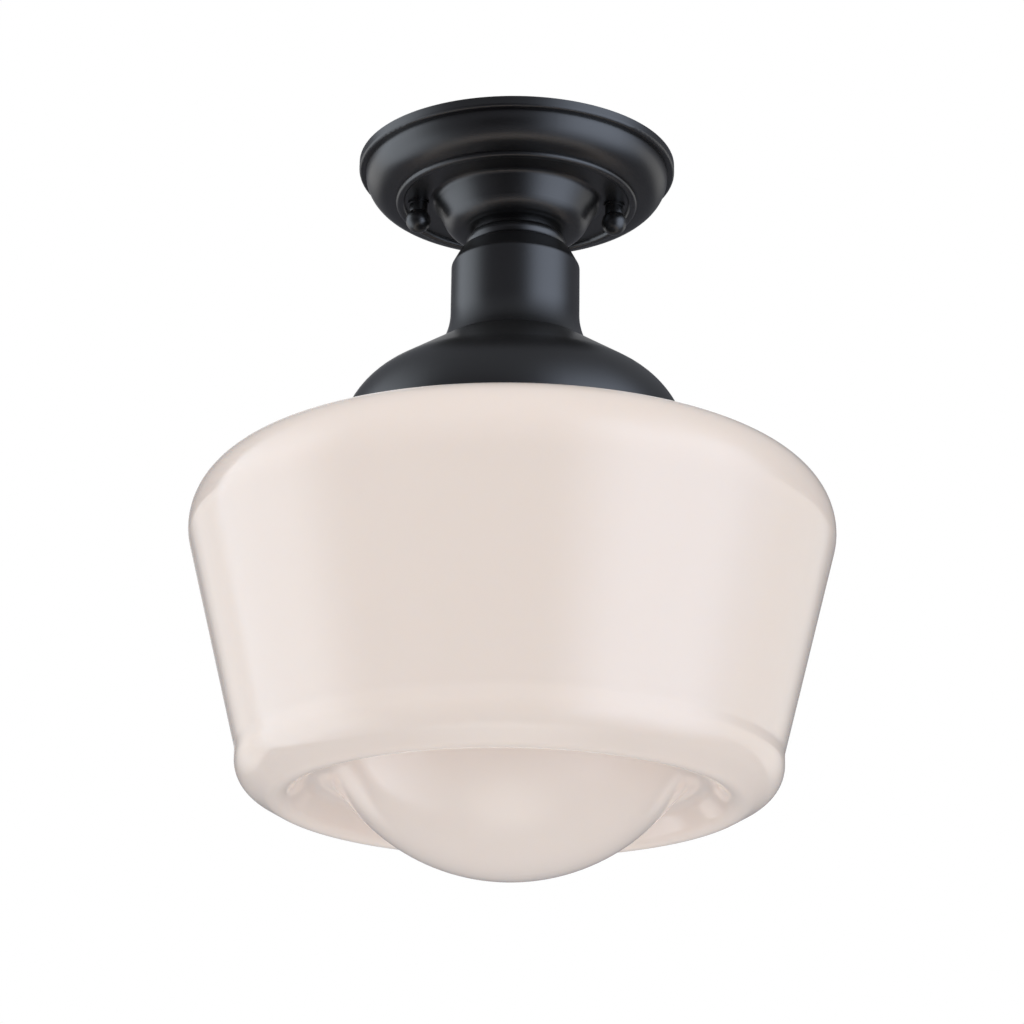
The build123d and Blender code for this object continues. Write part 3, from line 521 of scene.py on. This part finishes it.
# ------------------------------------------------------------------------------ finishes
@dataclass(frozen=True)
class Finish:
    """A surface finish: its colour and gloss, its drift of tone, its fine relief and its dust."""

    name: str
    colour: tuple[float, float, float]
    roughness: float
    metallic: float = 0.0
    specular: float = 0.5
    coat: float = 0.0
    coat_roughness: float = 0.05
    drift: float = 0.06
    drift_scale: float = 25.0
    coarse_scale: float = 40.0
    coarse: float = 0.0
    fine_scale: float = 1200.0
    fine: float = 0.2
    relief_mm: float = 0.02
    gloss_drift: float = 0.06
    dust: float = 0.0
    stretch: tuple[float, float, float] = (1.0, 1.0, 1.0)

    def place(self, tree: bpy.types.NodeTree) -> bpy.types.NodeSocket:
        """Add Object coordinates, stretched where the finish has a grain.

        Args:
            tree: the material's node tree.

        Returns:
            The coordinates.
        """
        coordinates = tree.nodes.new("ShaderNodeTexCoord")
        mapping = tree.nodes.new("ShaderNodeMapping")
        join(tree, self.stretch, mapping.inputs["Scale"])
        join(tree, coordinates.outputs["Object"], mapping.inputs["Vector"])
        return mapping.outputs["Vector"]

    @staticmethod
    def effect(tree: bpy.types.NodeTree, kind: Effect, vector: bpy.types.NodeSocket,
               **values: object) -> bpy.types.Node:
        """Place a shared effect.

        Args:
            tree: the material's node tree.
            kind: which effect.
            vector: the coordinates it reads.
            values: socket name, with underscores for spaces, to a number, colour or socket.

        Returns:
            The group's node.
        """
        node = tree.nodes.new("ShaderNodeGroup")
        node.node_tree = EFFECTS[kind]
        join(tree, vector, node.inputs["Vector"])
        for label, value in values.items():
            join(tree, value, node.inputs[label.replace("_", " ")])
        return node

    def material(self) -> bpy.types.Material:
        """Build the finish's material.

        Returns:
            A material whose Principled shader takes its colour from the drift and the dust, its
            roughness from the masks of both and its normal from the fine relief.
        """
        made = bpy.data.materials.new(self.name)
        made.use_nodes = True
        tree = made.node_tree
        shader = tree.nodes["Principled BSDF"]
        vector = self.place(tree)
        tone = self.effect(tree, Effect.TONE, vector, Color=(*self.colour, 1.0), Scale=self.drift_scale,
                           Amount=self.drift)
        dust = self.effect(tree, Effect.DUST, vector, Color=tone.outputs["Color"], Dust=DUST_TONE,
                           Amount=self.dust)
        join(tree, dust.outputs["Color"], shader.inputs["Base Color"])
        gloss = math_node(tree, "MULTIPLY_ADD", tone.outputs["Mask"], self.gloss_drift,
                          self.roughness - NOISE_MIDDLE * self.gloss_drift)
        gloss = math_node(tree, "MULTIPLY_ADD", dust.outputs["Mask"], DUST_ROUGHNESS, gloss)
        join(tree, gloss, shader.inputs["Roughness"])
        for label, value in (("Metallic", self.metallic), ("Specular IOR Level", self.specular),
                             ("Coat Weight", self.coat), ("Coat Roughness", self.coat_roughness)):
            shader.inputs[label].default_value = value
        relief = self.effect(tree, Effect.RELIEF, vector, Coarse_Scale=self.coarse_scale,
                             Coarse=self.coarse, Fine_Scale=self.fine_scale, Fine=self.fine)
        bump = tree.nodes.new("ShaderNodeBump")
        bump.inputs["Distance"].default_value = self.relief_mm * MM
        join(tree, relief.outputs["Height"], bump.inputs["Height"])
        join(tree, bump.outputs["Normal"], shader.inputs["Normal"])
        self.adjust(shader)
        return made

    def adjust(self, shader: bpy.types.Node) -> None:
        """Set what one kind of finish adds to its shader; the plain finish adds nothing."""


@dataclass(frozen=True)
class OpalGlass(Finish):
    """Milk-white cased glass: light spreads a little way inside it, under a fire-polished skin."""

    spread: float = 0.5
    spread_mm: float = 8.0
    spread_by_colour: tuple[float, float, float] = (1.0, 0.85, 0.7)
    ior: float = 1.52

    def adjust(self, shader: bpy.types.Node) -> None:
        """Let light spread under the surface, a little further in red than in blue.

        Args:
            shader: the material's Principled shader.
        """
        for label, value in (("Subsurface Weight", self.spread),
                             ("Subsurface Scale", self.spread_mm * MM),
                             ("Subsurface Radius", self.spread_by_colour), ("IOR", self.ior)):
            shader.inputs[label].default_value = value


SATIN_BLACK = Finish("satin_black_paint", (0.0017, 0.0018, 0.0026), 0.34, specular=1.0, drift=0.3,
                     drift_scale=40.0, fine_scale=1500.0, fine=1.0, relief_mm=0.014, dust=0.02)
ZINC = Finish("zinc_plate", (0.62, 0.63, 0.64), 0.34, metallic=1.0, drift=0.16, drift_scale=120.0,
              fine_scale=900.0, fine=1.0, relief_mm=0.01, gloss_drift=0.16, dust=0.15)
GREEN = Finish("green_screw_finish", (0.03, 0.22, 0.07), 0.36, metallic=0.35, drift=0.2, fine=0.8)
OPAL = OpalGlass("opal_glass_gloss", (0.880, 0.752, 0.688), 0.11, specular=0.75, drift=0.012,
                 drift_scale=9.0, coarse_scale=14.0, coarse=1.0, fine_scale=60.0, fine=0.10,
                 relief_mm=0.12, gloss_drift=0.02)
SILICONE = Finish("silicone_ring", (0.74, 0.73, 0.70), 0.55, drift=0.05, fine=0.6)
ALUMINIUM = Finish("drawn_aluminium", (0.70, 0.70, 0.71), 0.32, metallic=1.0, drift=0.12, fine=1.0,
                   stretch=(1.0, 1.0, 12.0), gloss_drift=0.12)
PORCELAIN = Finish("glazed_porcelain", (0.82, 0.80, 0.76), 0.14, coat=0.3, drift=0.04, coarse=1.0,
                   coarse_scale=90.0, relief_mm=0.05)
BRASS = Finish("bright_brass", (0.76, 0.56, 0.25), 0.28, metallic=1.0, drift=0.14, fine=1.0)
NICKEL = Finish("nickel_plate", (0.66, 0.63, 0.58), 0.24, metallic=1.0, drift=0.10, fine=0.8)
BLACK_GLASS = Finish("black_insulator", (0.012, 0.012, 0.014), 0.12, drift=0.1)
SOLDER = Finish("solder_button", (0.60, 0.60, 0.61), 0.38, metallic=1.0, drift=0.2, fine=1.0)
MOULDED_WHITE = Finish("moulded_white", (0.80, 0.80, 0.78), 0.32, drift=0.02, fine=0.8)
FROSTED = Finish("frosted_diffuser", (0.84, 0.83, 0.79), 0.52, drift=0.015, fine=1.0)
MADE = {
    finish.name: finish.material()
    for finish in (SATIN_BLACK, ZINC, GREEN, OPAL, SILICONE, ALUMINIUM, PORCELAIN, BRASS, NICKEL,
                   BLACK_GLASS, SOLDER, MOULDED_WHITE, FROSTED)
}


def finish_nodes(finish: Finish, *nodes: str) -> None:
    """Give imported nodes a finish, in every slot of their objects.

    Args:
        finish: the finish.
        nodes: the nodes' names.
    """
    for node in nodes:
        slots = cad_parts[node].data.materials
        if not slots:
            slots.append(MADE[finish.name])
        for index in range(len(slots)):
            slots[index] = MADE[finish.name]


# ------------------------------------------------------------------------------ sub-assemblies
@dataclass
class SubAssembly:
    """A group of pieces on one body."""

    body: str
    pieces: list[bpy.types.Object] = field(default_factory=list)

    def add(self, piece: bpy.types.Object, finish: Finish, slot: str, *nodes: str) -> None:
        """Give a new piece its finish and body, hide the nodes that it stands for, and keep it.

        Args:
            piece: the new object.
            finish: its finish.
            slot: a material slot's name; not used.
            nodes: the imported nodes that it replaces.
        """
        piece.data.materials.append(MADE[finish.name])
        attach(piece, self.body)
        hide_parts(*nodes)
        self.pieces.append(piece)

    def build(self) -> None:
        """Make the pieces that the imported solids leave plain; most groups need none."""

    def dress(self) -> None:
        """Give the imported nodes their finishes."""

    def report(self) -> None:
        """Say through the log which pieces were made."""
        for piece in self.pieces:
            LOG.info("%s: %s, %d faces", self.body, piece.name, len(piece.data.polygons))


@dataclass
class CeilingStrap(SubAssembly):
    """The slotted bar that stays on the ceiling box, its hollow rivet and its green screw."""

    body: str = "ceiling_strap"

    def dress(self) -> None:
        """Zinc plate the bar and the rivet and colour the ground screw."""
        finish_nodes(ZINC, "box_bar", "bar_eyelet")
        finish_nodes(GREEN, "ground_screw")


@dataclass
class Fixture(SubAssembly):
    """What turns on the strap: the canopy, the stem, the fitter and the fasteners between them."""

    body: str = "fixture"
    stud_pitch_mm: float = 0.7
    stud_depth_mm: float = 0.40
    nipple_pitch_mm: float = 1.0
    nipple_depth_mm: float = 0.55
    nipple_bore_mm: float = 3.6
    nipple_segments: int = 40

    def thread_of(self, node: str, pitch: float, depth: float) -> tuple[Thread, float]:
        """A thread of the size and height of a packed rod, and the rod's place along X.

        Args:
            node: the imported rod.
            pitch: the thread's pitch in millimetres.
            depth: the thread's depth in millimetres.

        Returns:
            The thread and the X of its axis, in millimetres.
        """
        low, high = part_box(node)
        radius = (high.y - low.y) / 2.0 / MM
        return Thread(radius, depth, high.z / MM, low.z / MM, pitch), (high.x + low.x) / 2.0 / MM

    def build(self) -> None:
        """Cut the threads of the two canopy studs and of the nipple."""
        for side in ("left", "right"):
            thread, x = self.thread_of(f"stud_{side}", self.stud_pitch_mm, self.stud_depth_mm)
            self.add(thread.solid(f"threaded_stud_{side}", 0.0, x), ZINC, "zinc_plate", f"stud_{side}")
        thread, _ = self.thread_of("nipple", self.nipple_pitch_mm, self.nipple_depth_mm)
        thread.segments = self.nipple_segments
        self.add(thread.solid("threaded_nipple", self.nipple_bore_mm, 0.0), ZINC, "zinc_plate", "nipple")

    def dress(self) -> None:
        """Paint what shows and plate what the canopy and the stem hide."""
        finish_nodes(SATIN_BLACK, "canopy", "neck_ring", "stem", "fitter", "shade_collar")
        finish_nodes(ZINC, "canopy_bar", "stud_nuts", "canopy_washer", "crown_washer", "canopy_nut",
                     "crown_nut")


@dataclass
class BallNut(SubAssembly):
    """One of the two round nuts under the canopy."""

    node: str = "ball_nut_left"

    def dress(self) -> None:
        """Paint the nut like the canopy."""
        finish_nodes(SATIN_BLACK, self.node)


@dataclass
class Lampholder(SubAssembly):
    """The porcelain lampholder under its aluminium cap, with its screws, shell and contact."""

    body: str = "fixture"
    shell_wall_mm: float = 0.16
    shell_groove_mm: float = 0.28

    def build(self) -> None:
        """Roll the screw shell."""
        low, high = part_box("screw_shell")
        crest = high.x / MM - self.shell_wall_mm
        thread = RolledThread(crest, self.shell_groove_mm, high.z / MM, low.z / MM)
        shell = thread.sleeve("rolled_screw_shell", self.shell_wall_mm)
        self.add(shell, NICKEL, "nickel_plate", "screw_shell")

    def dress(self) -> None:
        """Aluminium cap, glazed body, plated and brass screws."""
        finish_nodes(ALUMINIUM, "holder_cap")
        finish_nodes(PORCELAIN, "holder_body")
        finish_nodes(ZINC, "holder_screws", "set_screw")
        finish_nodes(BRASS, "hot_terminal", "centre_contact")
        finish_nodes(NICKEL, "neutral_terminal")


@dataclass
class Lamp(SubAssembly):
    """The household lamp: contact, insulator, rolled cap, housing and frosted diffuser."""

    body: str = "lamp"
    thread_depth_mm: float = 0.75
    cap_wall_mm: float = 0.4
    cap_shoulder_mm: float = 1.2
    cap_inset_mm: float = 0.8

    def build(self) -> None:
        """Roll the lamp's screw cap, which draws in above its thread and reaches in to the insulator."""
        low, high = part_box("lamp_cap")
        radius, top = high.x / MM, high.z / MM
        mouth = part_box("lamp_insulator")[1].x / MM + self.cap_wall_mm
        thread = RolledThread(radius, self.thread_depth_mm, top - self.cap_shoulder_mm, low.z / MM)
        ends = ((radius - self.cap_inset_mm, top), (mouth, top))
        cap = thread.sleeve("rolled_lamp_cap", -self.cap_wall_mm, ends)
        self.add(cap, NICKEL, "nickel_plate", "lamp_cap")

    def dress(self) -> None:
        """Give each part of the lamp its own finish."""
        finish_nodes(BLACK_GLASS, "lamp_insulator")
        finish_nodes(SOLDER, "lamp_contact")
        finish_nodes(MOULDED_WHITE, "lamp_housing")
        finish_nodes(ALUMINIUM, "lamp_board")
        finish_nodes(FROSTED, "lamp_diffuser")


@dataclass
class GlassShade(SubAssembly):
    """The blown schoolhouse shade and its soft ring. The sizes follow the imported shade's section."""

    body: str = "glass_shade"
    glass_mm: float = 3.6
    neck_mm: float = 63.7
    neck_height_mm: float = 11.496
    shoulder_deg: float = 15.0
    shoulder_round_mm: float = 24.0
    widest_mm: float = 127.0
    taper_deg: float = 14.3
    wall_height_mm: float = 81.7
    waist_round_mm: float = 14.0
    heel_height_mm: float = 12.0
    heel_round_mm: float = 13.0
    ridge_run_mm: float = 17.9
    ridge_drop_mm: float = 10.2
    ridge_round_mm: float = 8.0
    valley_run_mm: float = 14.1
    valley_round_mm: float = 8.0
    bowl_mm: float = 80.0
    bowl_deg: float = 50.0
    bowl_drop_mm: float = 25.5
    thread_pitch_mm: float = 6.0
    thread_depth_mm: float = 0.9
    thread_fade_mm: float = 2.0
    segments: int = 192
    arc_step: float = 0.07  # radians
    bowl_steps: int = 25
    neck_rungs: int = 24
    longest_run_mm: float = 5.0
    on_neck_mm: float = 1e-6  # a point nearer than this to the neck's radius belongs to the neck

    def outline(self) -> np.ndarray:
        """Lay out the outer face from the neck's top edge to the bowl's lowest point.

        Straight runs follow the neck, the shoulder, the tapered wall, the heel, the underside, the
        inner side of the ridge and the bowl's edge, with a circle at each corner; the bowl is a
        circle about the axis.

        Returns:
            Points (radius, height) in millimetres.
        """
        slope, taper = math.radians(self.shoulder_deg), math.radians(self.taper_deg)
        edge = math.radians(self.bowl_deg)
        neck_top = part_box("shade")[1].z / MM
        neck_foot = neck_top - self.neck_height_mm
        centre = self.widest_mm - self.shoulder_round_mm
        start = centre + self.shoulder_round_mm * math.sin(slope)
        start_level = neck_foot - (start - self.neck_mm) * math.tan(slope)
        middle = start_level - self.shoulder_round_mm * math.cos(slope)
        wall_start = centre + self.shoulder_round_mm * math.cos(taper)
        wall_level = middle - self.shoulder_round_mm * math.sin(taper)
        turn = 0.5 * (math.pi / 2.0 - slope - taper)
        reach = self.shoulder_round_mm / math.cos(0.5 * (math.pi / 2.0 - slope + taper))
        corner = (centre + reach * math.cos(turn), middle + reach * math.sin(turn))
        heel = wall_start - self.wall_height_mm * math.tan(taper)
        heel_top = wall_level - self.wall_height_mm
        heel_level = heel_top - self.heel_height_mm
        ridge = (heel - self.ridge_run_mm, heel_level - self.ridge_drop_mm)
        foot = ridge[1] - self.bowl_drop_mm
        bowl_edge = (self.bowl_mm * math.sin(edge), foot + self.bowl_mm * (1.0 - math.cos(edge)))
        valley_r = ridge[0] - self.valley_run_mm
        valley = (valley_r, bowl_edge[1] + (valley_r - bowl_edge[0]) * math.tan(edge))
        path = arc_path(
            [(self.neck_mm, neck_top), (self.neck_mm, neck_foot), corner, (heel, heel_top),
             (heel, heel_level), ridge, valley, bowl_edge],
            [0.0, self.shoulder_round_mm, self.waist_round_mm, self.heel_round_mm, self.ridge_round_mm,
             self.valley_round_mm],
            self.arc_step,
        )
        swing = np.linspace(edge, 0.0, self.bowl_steps + 1)[1:]
        rise = self.bowl_mm * (1.0 - np.cos(swing))
        bowl = np.stack([self.bowl_mm * np.sin(swing), foot + rise], axis=1)
        return resample(np.vstack([path, bowl]), self.longest_run_mm)

    def neck_thread(self, turn: np.ndarray, z: np.ndarray) -> np.ndarray:
        """How far the neck's moulded thread lies below its crest, at an angle and a height.

        One round groove a pitch wide winds round the neck and fades out at its top and its foot.

        Args:
            turn: the angle about the axis, in radians.
            z: the height, in millimetres.

        Returns:
            The groove's depth in millimetres.
        """
        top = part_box("shade")[1].z / MM
        phase = (z - top) / self.thread_pitch_mm - turn / TURN
        ends = np.minimum(top - z, z - top + self.neck_height_mm) / self.thread_fade_mm
        fade = np.clip(ends, 0.0, 1.0)
        return self.thread_depth_mm * (1.0 - ThreadForm.ROUND.height(phase)) * fade

    def build(self) -> None:
        """Turn the shade's wall about the axis and mould the thread into the outside of its neck."""
        outer = self.outline()
        neck = np.abs(outer[:, 0] - self.neck_mm) < self.on_neck_mm
        rungs = np.linspace(outer[neck][0, 1], outer[neck][-1, 1], self.neck_rungs)
        outer = np.vstack([np.stack([np.full_like(rungs, self.neck_mm), rungs], axis=1), outer[~neck]])
        section = np.vstack([outer, wall(outer, self.glass_mm)[::-1]])
        turn = np.linspace(0.0, TURN, self.segments, endpoint=False)[None, :]
        r, z = (np.repeat(section[:, k:k + 1], self.segments, axis=1) for k in range(2))
        r[:self.neck_rungs] -= self.neck_thread(turn, z[:self.neck_rungs])
        rows = np.stack([r * np.cos(turn), r * np.sin(turn), z], axis=-1) * MM
        self.add(loop_grid("blown_shade", rows, True), OPAL, "opal_glass", "shade")

    def dress(self) -> None:
        """Silicone for the soft ring."""
        finish_nodes(SILICONE, "shade_seal")


# ------------------------------------------------------------------------------ studio
@dataclass
class Softbox:
    """A rectangular lamp that faces a point."""

    name: str
    at: tuple[float, float, float]
    width: float
    height: float
    radiance: float
    target: tuple[float, float, float] = (0.0, 0.0, -0.16)
    colour: tuple[float, float, float] = (1.0, 1.0, 1.0)

    def build(self) -> None:
        """Place the lamp; its power is pi times its area times its radiance."""
        light = bpy.data.lights.new(self.name, "AREA")
        light.shape = "RECTANGLE"
        light.size, light.size_y = self.width, self.height
        light.energy = math.pi * self.width * self.height * self.radiance
        light.color = self.colour
        made = bpy.data.objects.new(self.name, light)
        made.location = self.at
        made.rotation_euler = (Vector(self.target) - Vector(self.at)).to_track_quat("-Z", "Y").to_euler()
        made.visible_glossy = False
        bpy.context.scene.collection.objects.link(made)


@dataclass
class SoftWindow:
    """A bright patch of the room that gloss shows, between two azimuths and two heights.

    The azimuth is 0 towards the photograph's camera and grows to its right, in degrees; the height
    is the sine of the elevation. Each edge is a smooth ramp of its own width.
    """

    azimuth: tuple[float, float]
    azimuth_soft: tuple[float, float]
    height: tuple[float, float]
    height_soft: tuple[float, float]
    colour: tuple[float, float, float]
    strength: float

    @staticmethod
    def ramp(tree: bpy.types.NodeTree, value: bpy.types.NodeSocket, low: float,
             high: float) -> bpy.types.NodeSocket:
        """Add a smooth step.

        Args:
            tree: the node tree.
            value: what it reads.
            low: where it is 0.
            high: where it is 1.

        Returns:
            The step's value.
        """
        node = tree.nodes.new("ShaderNodeMapRange")
        node.interpolation_type = "SMOOTHSTEP"
        for label, given in (("From Min", low), ("From Max", high), ("Value", value)):
            join(tree, given, node.inputs[label])
        return node.outputs["Result"]

    def mask(self, tree: bpy.types.NodeTree, azimuth: bpy.types.NodeSocket,
             height: bpy.types.NodeSocket) -> bpy.types.NodeSocket:
        """Add the nodes that are 1 inside the window and 0 outside it.

        Args:
            tree: the world's node tree.
            azimuth: the ray's azimuth in degrees.
            height: the ray's Z.

        Returns:
            The mask.
        """
        sides = []
        for value, span, soft in ((azimuth, self.azimuth, self.azimuth_soft),
                                  (height, self.height, self.height_soft)):
            rise = self.ramp(tree, value, span[0], span[0] + soft[0])
            fall = self.ramp(tree, value, span[1] - soft[1], span[1])
            sides.append(math_node(tree, "SUBTRACT", rise, fall))
        return math_node(tree, "MULTIPLY", *sides)


@dataclass
class Studio:
    """Floor, world, lamps and camera.

    The camera stands camera_distance from a point on the light's axis at the height camera_aim. The
    backdrop starts to show at the first azimuth on each side, or height, and is full at the second.
    """

    floor_level: float = -2.4
    floor_half: float = 1.2
    floor_fade: tuple[float, float] = (0.2, 1.15)
    floor_tone: tuple[float, float, float, float] = (0.9, 0.9, 0.9, 1.0)
    floor_roughness: float = 0.7
    ambient: float = 0.93
    room_gloss: tuple[float, float, float] = (0.130, 0.134, 0.155)
    camera_distance: float = 1.1848
    camera_aim: float = -0.1498
    camera_pitch_deg: float = 19.0
    camera_roll_deg: float = 0.72
    sensor_mm: float = 36.0
    focal_px: float = 3000.0
    image_px: float = 1024.0
    shift_px: float = -0.5
    clip: tuple[float, float] = (0.05, 60.0)
    lamps: tuple[Softbox, ...] = (
        Softbox("overhead_key", (-0.5, -1.3, 1.1), 1.2, 0.8, 1.5),
        Softbox("side_fill", (1.5, -0.6, -0.2), 1.0, 1.0, 0.35, colour=(0.85, 0.9, 1.0)),
        Softbox("under_fill", (0.0, 1.4, -1.2), 1.2, 0.8, 2.0, colour=(0.88, 0.95, 1.0)),
    )
    windows: tuple[SoftWindow, ...] = (
        # all round overhead
        SoftWindow((-200.0, 200.0), (1.0, 1.0), (0.40, 1.5), (0.35, 0.1), (0.90, 0.95, 1.05), 0.27),
        # low walls behind the light, right and left
        SoftWindow((85.0, 160.0), (20.0, 20.0), (-0.30, 0.24), (0.10, 0.06), (1.0, 1.0, 1.0), 0.72),
        SoftWindow((-160.0, -108.0), (20.0, 12.0), (-0.40, 0.29), (0.10, 0.05), (1.0, 1.0, 1.0), 0.95),
        # a dark patch round the camera
        SoftWindow((-40.0, 28.0), (20.0, 16.0), (-0.62, 0.02), (0.14, 0.10), (1.0, 1.0, 1.3), 0.01),
        # tall windows, right and left
        SoftWindow((10.0, 112.0), (36.0, 40.0), (-1.05, 0.96), (0.75, 0.60), (0.74, 0.83, 1.0), 2.15),
        SoftWindow((-128.0, -54.0), (10.0, 34.0), (-1.0, 0.92), (0.55, 0.56), (0.84, 0.91, 1.0), 1.7),
    )
    backdrop_left: tuple[float, float] = (160.0, 174.0)
    backdrop_right: tuple[float, float] = (168.0, 178.0)
    backdrop_height: tuple[float, float] = (0.14, 0.30)

    def gloss_world(self, tree: bpy.types.NodeTree) -> bpy.types.NodeSocket:
        """Build what gloss and glass see of the room: white backdrop, dim sides and soft windows.

        Args:
            tree: the world's node tree.

        Returns:
            The background shader's output.
        """
        direction = tree.nodes.new("ShaderNodeTexCoord")
        split = tree.nodes.new("ShaderNodeSeparateXYZ")
        join(tree, direction.outputs["Generated"], split.inputs[0])
        ahead = math_node(tree, "MULTIPLY", split.outputs["Y"], -1.0)
        azimuth = math_node(tree, "ARCTAN2", split.outputs["X"], ahead)
        azimuth = math_node(tree, "MULTIPLY", azimuth, 180.0 / math.pi)
        height = split.outputs["Z"]
        left = SoftWindow.ramp(tree, math_node(tree, "MULTIPLY", azimuth, -1.0), *self.backdrop_left)
        right = SoftWindow.ramp(tree, azimuth, *self.backdrop_right)
        above = SoftWindow.ramp(tree, height, *self.backdrop_height)
        back = math_node(tree, "MULTIPLY", math_node(tree, "MAXIMUM", left, right), above)
        seen = mix_colours(tree, back, (*self.room_gloss, 1.0), WHITE)
        for window in self.windows:
            bright = (*(share * window.strength for share in window.colour), 1.0)
            seen = mix_colours(tree, window.mask(tree, azimuth, height), seen, bright)
        mirrored = tree.nodes.new("ShaderNodeBackground")
        join(tree, seen, mirrored.inputs["Color"])
        return mirrored.outputs[0]

    def world(self) -> None:
        """Light the room evenly, white to the camera and with windows and a backdrop for gloss."""
        world = bpy.data.worlds.new("studio")
        bpy.context.scene.world = world
        world.use_nodes = True
        tree = world.node_tree
        path = tree.nodes.new("ShaderNodeLightPath")
        lit, plain = tree.nodes["Background"], tree.nodes.new("ShaderNodeBackground")
        lit.inputs["Strength"].default_value = self.ambient
        for background in (lit, plain):
            background.inputs["Color"].default_value = WHITE
        rays = [path.outputs[label] for label in ("Is Glossy Ray", "Is Transmission Ray")]
        gloss = math_node(tree, "MAXIMUM", *rays)
        seen = mix_shaders(tree, gloss, lit.outputs[0], self.gloss_world(tree))
        seen = mix_shaders(tree, path.outputs["Is Camera Ray"], seen, plain.outputs[0])
        join(tree, seen, tree.nodes["World Output"].inputs["Surface"])

    def floor(self) -> None:
        """Lay a plain pale floor a room's height below the ceiling.

        The floor's own share falls with the distance from the middle as a smooth step. The rest is
        plain white to the camera, and clear to gloss, which sees the world behind it.
        """
        half, z = self.floor_half, self.floor_level
        corners = np.array([[-half, -half, z], [half, -half, z], [half, half, z], [-half, half, z]])
        made = mesh_object("floor", corners, np.array([[0, 1, 2, 3]]))
        material = bpy.data.materials.new("pale_floor")
        material.use_nodes = True
        tree = material.node_tree
        shader = tree.nodes["Principled BSDF"]
        shader.inputs["Base Color"].default_value = self.floor_tone
        shader.inputs["Roughness"].default_value = self.floor_roughness
        place, path = tree.nodes.new("ShaderNodeTexCoord"), tree.nodes.new("ShaderNodeLightPath")
        flat, reach = tree.nodes.new("ShaderNodeVectorMath"), tree.nodes.new("ShaderNodeVectorMath")
        flat.operation, reach.operation = "MULTIPLY", "LENGTH"
        flat.inputs[1].default_value = (1.0, 1.0, 0.0)
        join(tree, place.outputs["Object"], flat.inputs[0])
        join(tree, flat.outputs[0], reach.inputs[0])
        fade = SoftWindow.ramp(tree, reach.outputs["Value"], *self.floor_fade)
        surface = shader.outputs[0]
        for ray, kind in (("Is Camera Ray", "ShaderNodeEmission"),
                          ("Is Glossy Ray", "ShaderNodeBsdfTransparent")):
            share = math_node(tree, "MULTIPLY", fade, path.outputs[ray])
            surface = mix_shaders(tree, share, surface, tree.nodes.new(kind).outputs[0])
        join(tree, surface, tree.nodes["Material Output"].inputs["Surface"])
        made.data.materials.append(material)

    def camera(self) -> None:
        """Stand the camera below and in front, looking up along +Y, with the photograph's roll."""
        pitch, roll = math.radians(self.camera_pitch_deg), math.radians(self.camera_roll_deg)
        ahead = Vector((0.0, math.cos(pitch), math.sin(pitch)))
        right = Vector((1.0, 0.0, 0.0))
        up = right.cross(ahead)
        across = right * math.cos(roll) + up * math.sin(roll)
        upward = up * math.cos(roll) - right * math.sin(roll)
        data = bpy.data.cameras.new("camera")
        data.sensor_width = self.sensor_mm
        data.lens = data.sensor_width * self.focal_px / self.image_px
        data.clip_start, data.clip_end = self.clip
        data.shift_x = self.shift_px / self.image_px
        made = bpy.data.objects.new("camera", data)
        turn = Matrix((across, upward, -ahead)).transposed()
        place = Vector((0.0, 0.0, self.camera_aim)) - ahead * self.camera_distance
        made.matrix_world = Matrix.Translation(place) @ turn.to_4x4()
        bpy.context.scene.collection.objects.link(made)
        bpy.context.scene.camera = made

    def build(self) -> None:
        """Set the scene up."""
        bpy.context.scene.view_settings.view_transform = "Standard"
        self.camera()
        self.world()
        self.floor()
        for lamp in self.lamps:
            lamp.build()


def main() -> None:
    """Build the studio and the sub-assemblies in order."""
    Studio().build()
    groups = (
        CeilingStrap(),
        Fixture(),
        BallNut("left_ball_nut", node="ball_nut_left"),
        BallNut("right_ball_nut", node="ball_nut_right"),
        Lampholder(),
        GlassShade(),
        Lamp(),
    )
    for group in groups:
        group.build()
        group.dress()
        group.report()


if __name__ == "__main__":
    main()
